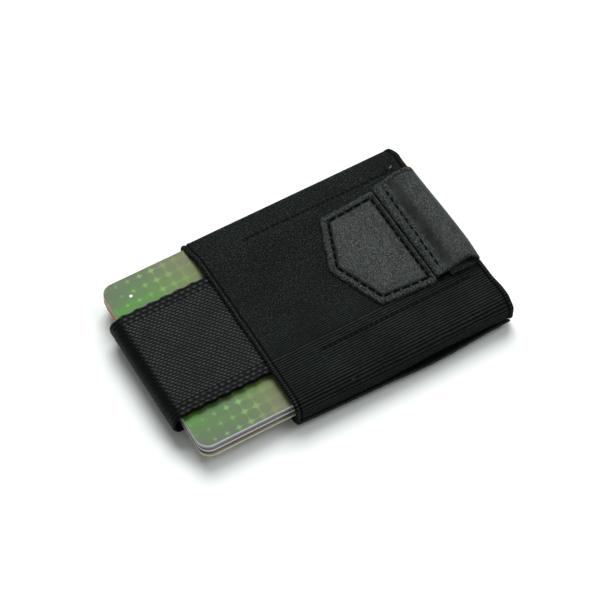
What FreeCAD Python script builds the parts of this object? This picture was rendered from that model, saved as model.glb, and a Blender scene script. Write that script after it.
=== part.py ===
import FreeCAD, Part

import math
import os

# Elastic card wallet with a webbing pull strap, in millimetres.
# +X is the way the tab is pulled and the cards come out, +Y runs across the cards, +Z is up.
# The origin is the middle of the elastic sleeve, on the surface that the wallet lies on.

# Payment cards
card_length = 85.6
card_width = 53.98
card_thickness = 0.76
card_corner = 3.18
card_count = 5
card_gap = 0.1  # between neighbours in the stack
card_clearance = 0.1  # between the stack and what lies under and over it
card_overhang = 1.2  # how far the stack stands out of the sleeve's right mouth
card_shifts = (-0.6, 0.2, -0.3, 0.1, 0.0)  # sideways, repeated from the lowest card up

# Woven elastic
sleeve_length = 60.2
elastic_thickness = 0.8
fold_slack = 1.4  # between the cards' long edges and the folds
fold_radius = 2.4
shoulder_inset = 4.2  # from the fold to the edge of the flat top
shoulder_drop = 0.9
pocket_gap = 0.3  # room for folded notes in the rear pocket
pocket_lip_angle = 55.0
pocket_lip_stub = 0.3
layer_gap = 0.05  # between layers that slide on each other

# Webbing strap
strap_width = 33.6
strap_thickness = 1.1
strap_offset = -0.5
bend_slack = 0.1  # between the cards' ends and the start of the bend
anchor_inset = 4.4  # from the sleeve's right mouth to the strap's fixed end
riser_angle = 60.0
riser_radius = 0.9
slit_inset = 12.1  # from the sleeve's right mouth to the foot of the riser
slit_clearance = 0.2
slit_end_clearance = 0.6

# Lining that closes the strap's channel
lining_thickness = 0.4
lining_left_inset = 9.8
lining_right_inset = 2.4
lining_seam_allowance = 1.8

# Leather
leather_thickness = 1.0
leather_clearance = 0.15
patch_side_length = 15.6
patch_length = 20.6
patch_width = 32.8
patch_shoulder_width = 30.6
patch_corner = 1.0
patch_offset = 0.5
tab_lift = 0.25  # of the tab above the sleeve
tab_length = 11.8
tab_width = 32.0
tab_offset = 1.0
tab_left_gap = 0.5  # from the foot of the riser to the tab's upper layer
tab_flat_length = 4.0
tab_flare = 0.4  # how much the loop opens towards its fold
tab_flare_radius = 6.0
strap_end_width = 30.0
strap_end_length = 5.0

# Thread
thread_width = 0.5
thread_height = 0.2
tie_radius = 0.2
stitch_length = 2.0
channel_pitch = 2.9
channel_near_margin = 0.9  # from the strap's near edge to the near row
channel_far_margin = 4.2
channel_left_inset = 12.6
channel_right_inset = 4.4
end_row_inset = 6.4
patch_pitch = 2.7
patch_stitch_inset = 2.0
tab_pitch = 2.7
tab_stitch_inset = 2.5
tab_row_margin = 3.0
anchor_row_spacing = 3.0
anchor_row_inset = 1.5
pocket_pitch = 3.0
pocket_row_inset = 1.5  # from the start of the fold to the row
pocket_near_seam_length = 26.0

# Heights of the layers, from the resting surface up
pocket_top = elastic_thickness
back_wall_bottom = pocket_top + pocket_gap
back_wall_top = back_wall_bottom + elastic_thickness
back_leg_bottom = back_wall_top + layer_gap
back_leg_top = back_leg_bottom + strap_thickness
cards_bottom = back_leg_top + card_clearance
cards_top = cards_bottom + card_count * card_thickness + (card_count - 1) * card_gap
lining_bottom = cards_top + card_clearance
lining_top = lining_bottom + lining_thickness
front_leg_bottom = lining_top + layer_gap
front_leg_top = front_leg_bottom + strap_thickness
front_wall_bottom = front_leg_top + layer_gap
front_wall_top = front_wall_bottom + elastic_thickness
tab_bottom = front_wall_top + tab_lift
strap_end_bottom = tab_bottom + leather_thickness + layer_gap
tab_upper_bottom = strap_end_bottom + strap_thickness + layer_gap

# Places along the wallet
sleeve_left = -sleeve_length / 2
sleeve_right = sleeve_length / 2
cards_left = sleeve_right + card_overhang - card_length
bend_x = cards_left - bend_slack
anchor_x = sleeve_right - anchor_inset
riser_x = sleeve_right - slit_inset

# Places across it
strap_near = strap_offset - strap_width / 2
strap_far = strap_offset + strap_width / 2
near_row_y = strap_near - channel_near_margin
far_row_y = strap_far + channel_far_margin
fold_y = card_width / 2 + fold_slack + elastic_thickness / 2
shoulder_y = fold_y - shoulder_inset

front_leg_middle = front_leg_bottom + strap_thickness / 2
back_leg_middle = back_leg_bottom + strap_thickness / 2
strap_end_middle = strap_end_bottom + strap_thickness / 2
riser_run = (strap_end_middle - front_leg_middle) / math.tan(math.radians(riser_angle))
riser_half = strap_thickness / 2 / math.sin(math.radians(riser_angle))
strap_join_x = riser_x + riser_run + riser_radius


def across(x):
    """Places a profile in the YZ plane at x."""
    return lambda u, v: FreeCAD.Vector(x, u, v)


def along(y):
    """Places a profile in the XZ plane at y."""
    return lambda u, v: FreeCAD.Vector(u, y, v)


def flat(z):
    """Places an outline in the XY plane at z."""
    return lambda u, v: FreeCAD.Vector(u, v, z)


def unit(a, b):
    length = math.dist(a, b)
    return ((b[0] - a[0]) / length, (b[1] - a[1]) / length)


def left_of(point, direction, distance):
    return (point[0] - direction[1] * distance, point[1] + direction[0] * distance)


def corner_arc(before, corner, after, radius, shift):
    """Start, middle and end of the arc that rounds a corner, moved left of the path by shift."""
    first = unit(before, corner)
    second = unit(corner, after)
    turn = math.atan2(first[0] * second[1] - first[1] * second[0], first[0] * second[0] + first[1] * second[1])
    reach = radius * math.tan(abs(turn) / 2)
    start = (corner[0] - first[0] * reach, corner[1] - first[1] * reach)
    end = (corner[0] + second[0] * reach, corner[1] + second[1] * reach)
    centre = left_of(start, first, math.copysign(radius, turn))
    outward = unit(centre, corner)
    size = radius - shift if turn > 0 else radius + shift
    middle = (centre[0] + outward[0] * size, centre[1] + outward[1] * size)
    return left_of(start, first, shift), middle, left_of(end, second, shift)


def path_edges(points, radii, shift, place, closed):
    """Edges of a path of straight runs with rounded corners, moved left by shift."""
    count = len(points)
    corners = range(count) if closed else range(1, count - 1)
    arcs = [corner_arc(points[i - 1], points[i], points[(i + 1) % count], radii[i], shift) for i in corners]
    if closed:
        stops = [arcs[-1][2]]
    else:
        stops = [left_of(points[0], unit(points[0], points[1]), shift)]
    edges = []
    for start, middle, end in arcs:
        if math.dist(stops[-1], start) > 1e-4:
            edges.append(Part.makeLine(place(*stops[-1]), place(*start)))
            stops.append(start)
        edges.append(Part.Arc(place(*stops[-1]), place(*middle), place(*end)).toShape())
        stops.append(end)
    if not closed:
        last = left_of(points[-1], unit(points[-2], points[-1]), shift)
        edges.append(Part.makeLine(place(*stops[-1]), place(*last)))
        stops.append(last)
    return edges, stops[0], stops[-1]


def outline_face(points, radii, place, shift=0.0):
    """Face inside a closed path that runs anticlockwise."""
    edges = path_edges(points, radii, shift, place, True)[0]
    return Part.Face(Part.Wire(edges))


def strip_face(points, radii, thickness, place):
    """Face of a strip of even thickness that follows an open path."""
    left, left_start, left_end = path_edges(points, radii, thickness / 2, place, False)
    right, right_start, right_end = path_edges(points, radii, -thickness / 2, place, False)
    caps = [
        Part.makeLine(place(*left_end), place(*right_end)),
        Part.makeLine(place(*left_start), place(*right_start)),
    ]
    edges = Part.__sortEdges__(left + right + caps)
    return Part.Face(Part.Wire(edges))


def block(x0, x1, y0, y1, z0, z1):
    return Part.makeBox(x1 - x0, y1 - y0, z1 - z0, FreeCAD.Vector(x0, y0, z0))


def stitch(x, y, z, heading, height=thread_height):
    """One visible stitch: a round-ended bar lying on z, turned by heading degrees."""
    half = (stitch_length - thread_width) / 2
    round_end = thread_width / 2
    a, b = (-half, -round_end), (half, -round_end)
    c, d = (half, round_end), (-half, round_end)
    place = flat(0)
    edges = [
        Part.makeLine(place(*a), place(*b)),
        Part.Arc(place(*b), place(half + round_end, 0), place(*c)).toShape(),
        Part.makeLine(place(*c), place(*d)),
        Part.Arc(place(*d), place(-half - round_end, 0), place(*a)).toShape(),
    ]
    bar = Part.Face(Part.Wire(edges)).extrude(FreeCAD.Vector(0, 0, height))
    bar.rotate(FreeCAD.Vector(), FreeCAD.Vector(0, 0, 1), heading)
    bar.translate(FreeCAD.Vector(x, y, z))
    return bar


def tie(x, y, z0, z1):
    """The thread of one stitch where it crosses the space between two layers."""
    return Part.makeCylinder(tie_radius, z1 - z0, FreeCAD.Vector(x, y, z0))


def row(start, end, pitch):
    """Middles of the stitches of a straight row, and the row's heading in degrees."""
    length = math.dist(start, end)
    count = max(1, round(length / pitch))
    heading = math.degrees(math.atan2(end[1] - start[1], end[0] - start[0]))
    shares = [(i + 0.5) / count for i in range(count)]
    spots = [(start[0] + (end[0] - start[0]) * s, start[1] + (end[1] - start[1]) * s) for s in shares]
    return spots, heading


def channel_row(start, end):
    """A row through the front wall and the lining, with its ties between the two."""
    spots, heading = row(start, end, channel_pitch)
    bars = [stitch(x, y, front_wall_top, heading) for x, y in spots]
    ties = [tie(x, y, lining_top, front_wall_bottom) for x, y in spots]
    return Part.makeCompound(bars + ties)


def sleeve_points():
    """Middle line of the sleeve's wall, anticlockwise from the near lower fold."""
    low = back_wall_bottom + elastic_thickness / 2
    high = front_wall_bottom + elastic_thickness / 2
    return [
        (-fold_y, low),
        (fold_y, low),
        (fold_y, high - shoulder_drop),
        (shoulder_y, high),
        (-shoulder_y, high),
        (-fold_y, high - shoulder_drop),
    ]


def riser_at(z):
    """Where the middle of the riser is at height z."""
    return riser_x + (z - front_leg_middle) / math.tan(math.radians(riser_angle))


def outer_sleeve():
    points = sleeve_points()
    radii = [fold_radius] * len(points)
    half = elastic_thickness / 2
    reach = FreeCAD.Vector(sleeve_length, 0, 0)
    outside = outline_face(points, radii, across(sleeve_left), -half).extrude(reach)
    inside = outline_face(points, radii, across(sleeve_left), half).extrude(reach)
    slit = block(
        riser_at(front_wall_bottom) - riser_half - slit_clearance,
        riser_at(front_wall_top) + riser_half + slit_clearance,
        strap_near - slit_end_clearance,
        strap_far + slit_end_clearance,
        front_wall_bottom - layer_gap,
        front_wall_top + layer_gap,
    )
    return outside.cut(inside).cut(slit)


def channel_lining():
    return block(
        sleeve_left + lining_left_inset,
        sleeve_right - lining_right_inset,
        near_row_y - lining_seam_allowance,
        far_row_y + lining_seam_allowance,
        lining_bottom,
        lining_top,
    )


def cash_pocket():
    """Second layer behind the back wall, with lips that follow the sleeve's lower folds."""
    middle = pocket_top - elastic_thickness / 2
    bend_y = fold_y - fold_radius
    radius = fold_radius + elastic_thickness + pocket_gap
    lip = math.radians(pocket_lip_angle)
    reach = radius * math.tan(lip / 2)
    corner_y = bend_y + reach
    run = reach + pocket_lip_stub
    tip = (corner_y + run * math.cos(lip), middle + run * math.sin(lip))
    points = [(-tip[0], tip[1]), (-corner_y, middle), (corner_y, middle), tip]
    face = strip_face(points, [0, radius, radius, 0], elastic_thickness, across(sleeve_left))
    return face.extrude(FreeCAD.Vector(sleeve_length, 0, 0))


def pocket_seam_stitches():
    """Ties between the pocket and the sleeve: all along the far side, part of the near side."""
    seam_y = fold_y - fold_radius - pocket_row_inset
    far = row((sleeve_left, seam_y), (sleeve_right, seam_y), pocket_pitch)[0]
    near = row((sleeve_left, -seam_y), (sleeve_left + pocket_near_seam_length, -seam_y), pocket_pitch)[0]
    return Part.makeCompound([tie(x, y, pocket_top, back_wall_bottom) for x, y in far + near])


def patch_outline(right, inset, side_inset):
    """Corners of the house-shaped patch, anticlockwise, moved in by inset."""
    half, shoulder_half = patch_width / 2, patch_shoulder_width / 2
    side = math.atan2(half - shoulder_half, patch_side_length)
    gable = math.atan2(shoulder_half, patch_length - patch_side_length)
    wall_drop = inset / math.cos(side)
    apex_run = inset / math.sin(gable)
    shoulder_run = inset * math.tan((math.pi / 2 - side - (math.pi / 2 - gable)) / 2)
    wall_y = half - wall_drop - side_inset * math.tan(side)
    shoulder_x = right - patch_side_length + shoulder_run * math.cos(side) + inset * math.sin(side)
    shoulder_y = shoulder_half - inset * math.cos(side) + shoulder_run * math.sin(side)
    return [
        (right - side_inset, patch_offset - wall_y),
        (right - side_inset, patch_offset + wall_y),
        (shoulder_x, patch_offset + shoulder_y),
        (right - patch_length + apex_run, patch_offset),
        (shoulder_x, patch_offset - shoulder_y),
    ]


def patch_right():
    return riser_at(front_wall_top) - riser_half - leather_clearance


def leather_patch():
    points = patch_outline(patch_right(), 0.0, 0.0)
    face = outline_face(points, [patch_corner] * len(points), flat(front_wall_top))
    return face.extrude(FreeCAD.Vector(0, 0, leather_thickness))


def patch_stitches():
    points = patch_outline(patch_right(), patch_stitch_inset, patch_stitch_inset)
    top = front_wall_top + leather_thickness
    bars = []
    for i, start in enumerate(points):
        spots, heading = row(start, points[(i + 1) % len(points)], patch_pitch)
        bars += [stitch(x, y, top, heading) for x, y in spots]
    return Part.makeCompound(bars)


def channel_stitches(y):
    start = (sleeve_left + channel_left_inset, y)
    end = (sleeve_right - channel_right_inset, y)
    return channel_row(start, end)


def channel_end_stitches():
    """Row that closes the channel beyond the slit, under the tab."""
    x = sleeve_right - end_row_inset
    return channel_row((x, near_row_y + channel_pitch), (x, far_row_y - channel_pitch))


def strap_strip(points, radii, width=strap_width):
    face = strip_face(points, radii, strap_thickness, along(strap_offset - width / 2))
    return face.extrude(FreeCAD.Vector(0, width, 0))


def strap_back_leg():
    return block(bend_x, anchor_x, strap_near, strap_far, back_leg_bottom, back_leg_top)


def strap_anchor_stitches():
    """Rows under the back wall that hold the strap's fixed end, inside the rear pocket."""
    bars = []
    for i in range(2):
        x = anchor_x - anchor_row_inset - i * anchor_row_spacing
        spots, heading = row((x, strap_near), (x, strap_far), channel_pitch)
        bars += [stitch(x, y, back_wall_bottom - thread_height, heading) for x, y in spots]
    return Part.makeCompound(bars)


def strap_bend():
    """Half turn of the webbing round the cards' ends."""
    radius = (front_leg_middle - back_leg_middle) / 2
    stub = bend_x - layer_gap
    points = [
        (bend_x, back_leg_middle),
        (stub - radius, back_leg_middle),
        (stub - radius, front_leg_middle),
        (bend_x, front_leg_middle),
    ]
    return strap_strip(points, [0, radius, radius, 0])


def strap_front_leg():
    """Webbing over the cards, along the channel and up through the slit."""
    points = [
        (bend_x, front_leg_middle),
        (riser_x, front_leg_middle),
        (riser_x + riser_run, strap_end_middle),
        (strap_join_x, strap_end_middle),
    ]
    return strap_strip(points, [0, riser_radius, riser_radius, 0])


def strap_tab_end():
    middle = strap_offset + (tab_offset - strap_offset) / 2
    half = strap_end_width / 2
    top = strap_end_bottom + strap_thickness
    end = strap_join_x + strap_end_length
    return block(strap_join_x, end, middle - half, middle + half, strap_end_bottom, top)


def tab_left():
    return riser_x + tab_left_gap


def tab_leather():
    """Strip of leather folded at the right, its two ends sewn over the strap's end."""
    low = tab_bottom + leather_thickness / 2
    high = tab_upper_bottom + leather_thickness / 2
    fold_x = tab_left() + tab_length - leather_thickness / 2
    flare_x = tab_left() + tab_flat_length
    lower_left = riser_at(tab_bottom + leather_thickness) + riser_half + 2 * leather_clearance
    tilt = math.atan2(tab_flare, fold_x - flare_x)
    side = high + tab_flare - low
    radius = side / (math.tan((math.pi / 2 + tilt) / 2) + 1)
    points = [
        (tab_left(), high),
        (flare_x, high),
        (fold_x, high + tab_flare),
        (fold_x, low),
        (lower_left, low),
    ]
    radii = [0, tab_flare_radius, radius, radius, 0]
    face = strip_face(points, radii, leather_thickness, along(tab_offset - tab_width / 2))
    return face.extrude(FreeCAD.Vector(0, tab_width, 0))


def tab_stitches():
    x = tab_left() + tab_stitch_inset
    half = tab_width / 2 - tab_row_margin
    spots, heading = row((x, tab_offset - half), (x, tab_offset + half), tab_pitch)
    top = tab_upper_bottom + leather_thickness
    return Part.makeCompound([stitch(px, py, top, heading) for px, py in spots])


def card(number):
    """Card number 1 is the lowest."""
    z = cards_bottom + (number - 1) * (card_thickness + card_gap)
    y = card_shifts[(number - 1) % len(card_shifts)]
    left, right = cards_left, cards_left + card_length
    near, far = y - card_width / 2, y + card_width / 2
    points = [(left, near), (right, near), (right, far), (left, far)]
    face = outline_face(points, [card_corner] * 4, flat(z))
    return face.extrude(FreeCAD.Vector(0, 0, card_thickness))


def build():
    nodes = {
        "outer_sleeve": outer_sleeve(),
        "channel_lining": channel_lining(),
        "cash_pocket": cash_pocket(),
        "pocket_seam_stitches": pocket_seam_stitches(),
        "channel_stitches_near": channel_stitches(near_row_y),
        "channel_stitches_far": channel_stitches(far_row_y),
        "channel_end_stitches": channel_end_stitches(),
        "leather_patch": leather_patch(),
        "patch_stitches": patch_stitches(),
        "strap_back_leg": strap_back_leg(),
        "strap_anchor_stitches": strap_anchor_stitches(),
        "strap_bend": strap_bend(),
        "strap_front_leg": strap_front_leg(),
        "strap_tab_end": strap_tab_end(),
        "tab_leather": tab_leather(),
        "tab_stitches": tab_stitches(),
    }
    for number in range(1, card_count + 1):
        nodes[f"card_{number}"] = card(number)
    return nodes


os.makedirs("parts", exist_ok=True)
for name, shape in build().items():
    shape.exportStep(f"parts/{name}.step")
    box = shape.BoundBox
    print(
        f"{name:24s} solids {len(shape.Solids):3d}  valid {shape.isValid()}  volume {shape.Volume:9.2f}"
        f"  x {box.XMin:7.2f} {box.XMax:7.2f}  y {box.YMin:7.2f} {box.YMax:7.2f}"
        f"  z {box.ZMin:6.2f} {box.ZMax:6.2f}"
    )
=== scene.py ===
"""Looks of an elastic card wallet with a webbing pull strap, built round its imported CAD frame."""

import logging
import math
from dataclasses import dataclass, field
from enum import Enum
from typing import Optional, Sequence

import bpy
import numpy as np
from mathutils import Matrix, Vector, noise
from mathutils.bvhtree import BVHTree


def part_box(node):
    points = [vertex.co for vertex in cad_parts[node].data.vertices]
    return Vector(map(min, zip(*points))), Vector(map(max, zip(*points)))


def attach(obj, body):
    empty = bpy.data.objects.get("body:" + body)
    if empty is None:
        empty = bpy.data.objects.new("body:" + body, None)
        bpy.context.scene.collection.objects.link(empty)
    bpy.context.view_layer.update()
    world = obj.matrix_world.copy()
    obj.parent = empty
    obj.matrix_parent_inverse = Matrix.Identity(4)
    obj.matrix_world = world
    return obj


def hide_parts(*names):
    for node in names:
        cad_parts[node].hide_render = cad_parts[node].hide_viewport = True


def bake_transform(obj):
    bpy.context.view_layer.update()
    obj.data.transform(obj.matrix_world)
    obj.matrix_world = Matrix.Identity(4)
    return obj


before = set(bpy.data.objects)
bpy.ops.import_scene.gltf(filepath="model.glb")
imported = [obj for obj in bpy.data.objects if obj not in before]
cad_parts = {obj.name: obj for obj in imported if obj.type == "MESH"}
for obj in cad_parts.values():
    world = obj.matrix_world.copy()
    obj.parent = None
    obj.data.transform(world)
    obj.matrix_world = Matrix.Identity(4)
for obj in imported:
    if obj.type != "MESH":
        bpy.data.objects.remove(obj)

LOG = logging.getLogger("wallet")
MM = 0.001
TURN = 2 * math.pi
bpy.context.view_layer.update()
CLOTH_MAP = "cloth"
RELIEF_MAP = "relief"


class Body(Enum):
    """Bodies of the frame that pieces move with."""

    SLEEVE = "sleeve"
    LOOP = "strap_loop"
    TAB = "pull_tab"


class Slot(Enum):
    """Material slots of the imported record."""

    ELASTIC = "elastic"
    LINING = "lining"
    WEBBING = "webbing"
    LEATHER = "leather"
    THREAD = "thread"


class Held(Enum):
    """Ways in which a sheet is held."""

    STRETCHED = "stretched"
    LAID = "laid"
    FOLDED = "folded"


# ---- Numbers and shapes ----


def box_mm(node: str) -> tuple[np.ndarray, np.ndarray]:
    """Gives the box of a CAD node in millimetres.

    Args:
        node: Name of the CAD node.

    Returns:
        Its lowest and its highest corner.
    """
    low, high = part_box(node)
    return np.array(low) / MM, np.array(high) / MM


def ease(values: np.ndarray, start: float, end: float) -> np.ndarray:
    """Rises smoothly from 0 at start to 1 at end.

    Args:
        values: Where to work it out.
        start: Value at which the rise begins.
        end: Value at which it is complete.

    Returns:
        The share at each value.
    """
    t = np.clip((values - start) / (end - start), 0.0, 1.0)
    return t * t * (3.0 - 2.0 * t)


def bell(values: np.ndarray, centre: float, width: float) -> np.ndarray:
    """Gives a rounded bump of height 1 at centre."""
    return np.exp(-(((values - centre) / width) ** 2))


def span(values: np.ndarray, start: float, end: float, soft: float) -> np.ndarray:
    """Gives 1 between start and end and 0 beyond them.

    Args:
        values: Where to work it out.
        start: Middle of the rise.
        end: Middle of the fall.
        soft: Half the width of the rise and of the fall.

    Returns:
        The share at each value.
    """
    return ease(values, start - soft, start + soft) * (1 - ease(values, end - soft, end + soft))


def ruffle(points: np.ndarray, scale: float, seed: float) -> np.ndarray:
    """Gives smooth noise from -1 to 1 at each point.

    Args:
        points: Array whose last axis is x, y, z in millimetres.
        scale: Size of one swell, in millimetres.
        seed: Shift that makes one noise differ from another.

    Returns:
        One value per point.
    """
    flat = points.reshape(-1, 3) / scale + seed
    found = np.array([noise.noise(p) for p in flat.tolist()])
    return found.reshape(points.shape[:-1])


def stations(low: float, high: float, step: float, rim: float) -> np.ndarray:
    """Gives places from low to high, close together at both rims.

    Args:
        low: First place.
        high: Last place.
        step: Spacing between the rims.
        rim: Width of the rounded rim.

    Returns:
        The places in order.
    """
    shares = np.array([0.0, 0.04, 0.15, 0.35, 0.65, 1.0]) * rim
    count = max(2, int(round((high - low - 2 * rim) / step)) + 1)
    middle = np.linspace(low + rim, high - rim, count)[1:-1]
    return np.concatenate([low + shares, middle, (high - shares)[::-1]])


def rounded_rim(distance: np.ndarray, half: float, rim: float) -> np.ndarray:
    """Gives the half thickness of a sheet whose rim is rounded.

    Args:
        distance: Distance from the rim, in millimetres.
        half: Half thickness away from the rim.
        rim: Width of the rounded rim.

    Returns:
        The half thickness at each distance.
    """
    inward = np.clip(distance / rim, 0.0, 1.0)
    return half * np.sqrt(np.clip(1.0 - (1.0 - inward) ** 2, 0.0, 1.0))


def rounded_path(points: Sequence[tuple[float, float]], radii: Sequence[float], closed: bool) -> np.ndarray:
    """Rounds the corners of a path of straight runs.

    Args:
        points: Corners of the path.
        radii: Radius at each corner. The ends of an open path have none.
        closed: Whether the path runs back to its first corner.

    Returns:
        Points along the rounded path, 12 to each corner.
    """
    corners = np.array(points, float)
    count = len(corners)
    found = []
    for i in range(count):
        if not closed and i in (0, count - 1):
            found.append(corners[i][None])
            continue
        before = corners[i - 1] - corners[i]
        after = corners[(i + 1) % count] - corners[i]
        before /= np.linalg.norm(before)
        after /= np.linalg.norm(after)
        opening = math.acos(float(np.clip(before @ after, -1, 1)))
        reach = radii[i] / math.tan(opening / 2)
        bisector = (before + after) / np.linalg.norm(before + after)
        centre = corners[i] + bisector * radii[i] / math.sin(opening / 2)
        start = corners[i] + before * reach - centre
        turn = math.pi - opening
        sense = math.copysign(1.0, before[0] * after[1] - before[1] * after[0])
        angles = -sense * np.linspace(0.0, turn, 12)
        cos, sin = np.cos(angles), np.sin(angles)
        found.append(centre + np.stack([start[0] * cos - start[1] * sin, start[0] * sin + start[1] * cos], 1))
    return np.concatenate(found)


def resample(path: np.ndarray, places: np.ndarray) -> np.ndarray:
    """Reads a path at given distances along it.

    Args:
        path: Points of the path.
        places: Distances from its first point.

    Returns:
        One point per distance.
    """
    steps = np.linalg.norm(np.diff(path, axis=0), axis=1)
    along = np.concatenate([[0.0], np.cumsum(steps)])
    return np.stack([np.interp(places, along, path[:, k]) for k in range(path.shape[1])], 1)


def path_length(path: np.ndarray) -> float:
    """Gives the length of a path of points."""
    return float(np.linalg.norm(np.diff(path, axis=0), axis=1).sum())


def spline(points: Sequence[tuple[float, float]], count: int) -> np.ndarray:
    """Runs a smooth curve through points.

    Args:
        points: Points that the curve passes through.
        count: How many points to give back.

    Returns:
        Evenly spaced points of the curve.
    """
    p = np.array(points, float)
    p = np.concatenate([[2 * p[0] - p[1]], p, [2 * p[-1] - p[-2]]])
    t = np.linspace(0.0, 1.0, 16, endpoint=False)[:, None]
    runs = []
    for a, b, c, d in zip(p[:-3], p[1:-2], p[2:-1], p[3:]):
        cubic = 3 * b - a - 3 * c + d
        runs.append(0.5 * (2 * b + (c - a) * t + (2 * a - 5 * b + 4 * c - d) * t**2 + cubic * t**3))
    runs.append(p[-2][None])
    path = np.concatenate(runs)
    return resample(path, np.linspace(0.0, path_length(path), count))


def make_object(name: str, points: np.ndarray, faces: list, maps: Optional[dict] = None) -> bpy.types.Object:
    """Makes a smooth mesh object.

    Args:
        name: Name of the piece.
        points: Its vertices, in millimetres.
        faces: Its faces, as lists of vertex numbers.
        maps: UV maps to add, each an array with two numbers for each vertex.

    Returns:
        The new object, linked to the scene.
    """
    mesh = bpy.data.meshes.new(name)
    mesh.from_pydata((points * MM).tolist(), [], faces)
    mesh.polygons.foreach_set("use_smooth", np.ones(len(mesh.polygons), bool))
    corners = np.zeros(len(mesh.loops), np.int32)
    mesh.loops.foreach_get("vertex_index", corners)
    for key, values in (maps or {}).items():
        layer = mesh.uv_layers.new(name=key)
        layer.uv.foreach_set("vector", values[corners].astype(np.float32).ravel())
    mesh.validate()
    mesh.update()
    made = bpy.data.objects.new(name, mesh)
    bpy.context.scene.collection.objects.link(made)
    return made


@dataclass
class Skin:
    """Closed shell of cloth or leather, from a grid of points in the middle of its thickness.

    Attributes:
        name: Name of the piece.
        middle: Grid of points in millimetres, shape (rows, columns, 3).
        half: Half thickness at each point. It is 0 along the rims.
        relief: How far the outer face stands out beyond it, at each point.
        cloth: Place of each point on the flat cloth, in millimetres.
        wrap: Whether the last column joins the first.
        outward: 1 or -1, for which side of the grid is the outer face.
        hole: Which grid cells are left open.
        backing: How far the inner face stands in beyond its half thickness, at each point.
    """

    name: str
    middle: np.ndarray
    half: np.ndarray
    relief: np.ndarray
    cloth: np.ndarray
    wrap: bool = False
    outward: int = 1
    hole: Optional[np.ndarray] = None
    backing: Optional[np.ndarray] = None

    def normals(self) -> np.ndarray:
        """Gives the outward direction at each point of the grid."""
        down = np.gradient(self.middle, axis=0)
        if self.wrap:
            over = np.roll(self.middle, -1, 1) - np.roll(self.middle, 1, 1)
        else:
            over = np.gradient(self.middle, axis=1)
        normal = np.cross(down, over) * self.outward
        return normal / np.maximum(np.linalg.norm(normal, axis=2, keepdims=True), 1e-12)

    def build(self) -> bpy.types.Object:
        """Makes the shell's object."""
        rows, columns = self.half.shape
        normal = self.normals()
        outer = self.middle + normal * (self.half + self.relief)[..., None]
        depth = self.half if self.backing is None else self.half + self.backing
        inner = self.middle - normal * depth[..., None]
        front = np.arange(rows * columns).reshape(rows, columns)
        rim = np.zeros((rows, columns), bool)
        rim[[0, -1]] = True
        if not self.wrap:
            rim[:, [0, -1]] = True
        back = np.where(rim, front, front + rows * columns)
        faces = self.quads(front, False) + self.quads(back, True)
        if self.hole is not None:
            faces += self.hole_walls(front, back)
        points = np.concatenate([outer.reshape(-1, 3), inner.reshape(-1, 3)])
        height = np.stack([self.relief, np.zeros_like(self.relief)], 2).reshape(-1, 2)
        maps = {
            CLOTH_MAP: np.concatenate([self.cloth.reshape(-1, 2)] * 2),
            RELIEF_MAP: np.concatenate([height, height * 0]),
        }
        used = np.zeros(len(points), bool)
        used[np.array(faces).ravel()] = True
        renumber = np.cumsum(used) - 1
        kept = [[int(renumber[v]) for v in f] for f in faces]
        return make_object(self.name, points[used], kept, {k: v[used] for k, v in maps.items()})

    def quads(self, index: np.ndarray, flipped: bool) -> list:
        """Joins the grid's points into faces.

        Args:
            index: Vertex number at each point of the grid.
            flipped: Whether the faces look the other way.

        Returns:
            The faces, without those of the hole.
        """
        joined = np.concatenate([index, index[:, :1]], 1) if self.wrap else index
        cells = np.stack([joined[:-1, :-1], joined[1:, :-1], joined[1:, 1:], joined[:-1, 1:]], 2)
        if flipped == (self.outward > 0):
            cells = cells[..., ::-1]
        flat = cells.reshape(-1, 4)
        if self.hole is not None:
            flat = flat[~self.hole.ravel()]
        return flat.tolist()

    def hole_walls(self, front: np.ndarray, back: np.ndarray) -> list:
        """Closes the cut edges of the hole, between the outer and the inner face."""
        walls = []
        rows, columns = np.nonzero(self.hole)
        for i, j in zip(rows.tolist(), columns.tolist()):
            sides = [
                ((i - 1, j), (i, j), (i, j + 1)),
                ((i + 1, j), (i + 1, j + 1), (i + 1, j)),
                ((i, j - 1), (i + 1, j), (i, j)),
                ((i, j + 1), (i, j + 1), (i + 1, j + 1)),
            ]
            for beyond, a, b in sides:
                if self.hole[beyond]:
                    continue
                wall = [int(front[a]), int(front[b]), int(back[b]), int(back[a])]
                walls.append(wall if self.outward < 0 else wall[::-1])
        return walls


# ---- Shader nodes ----


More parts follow.
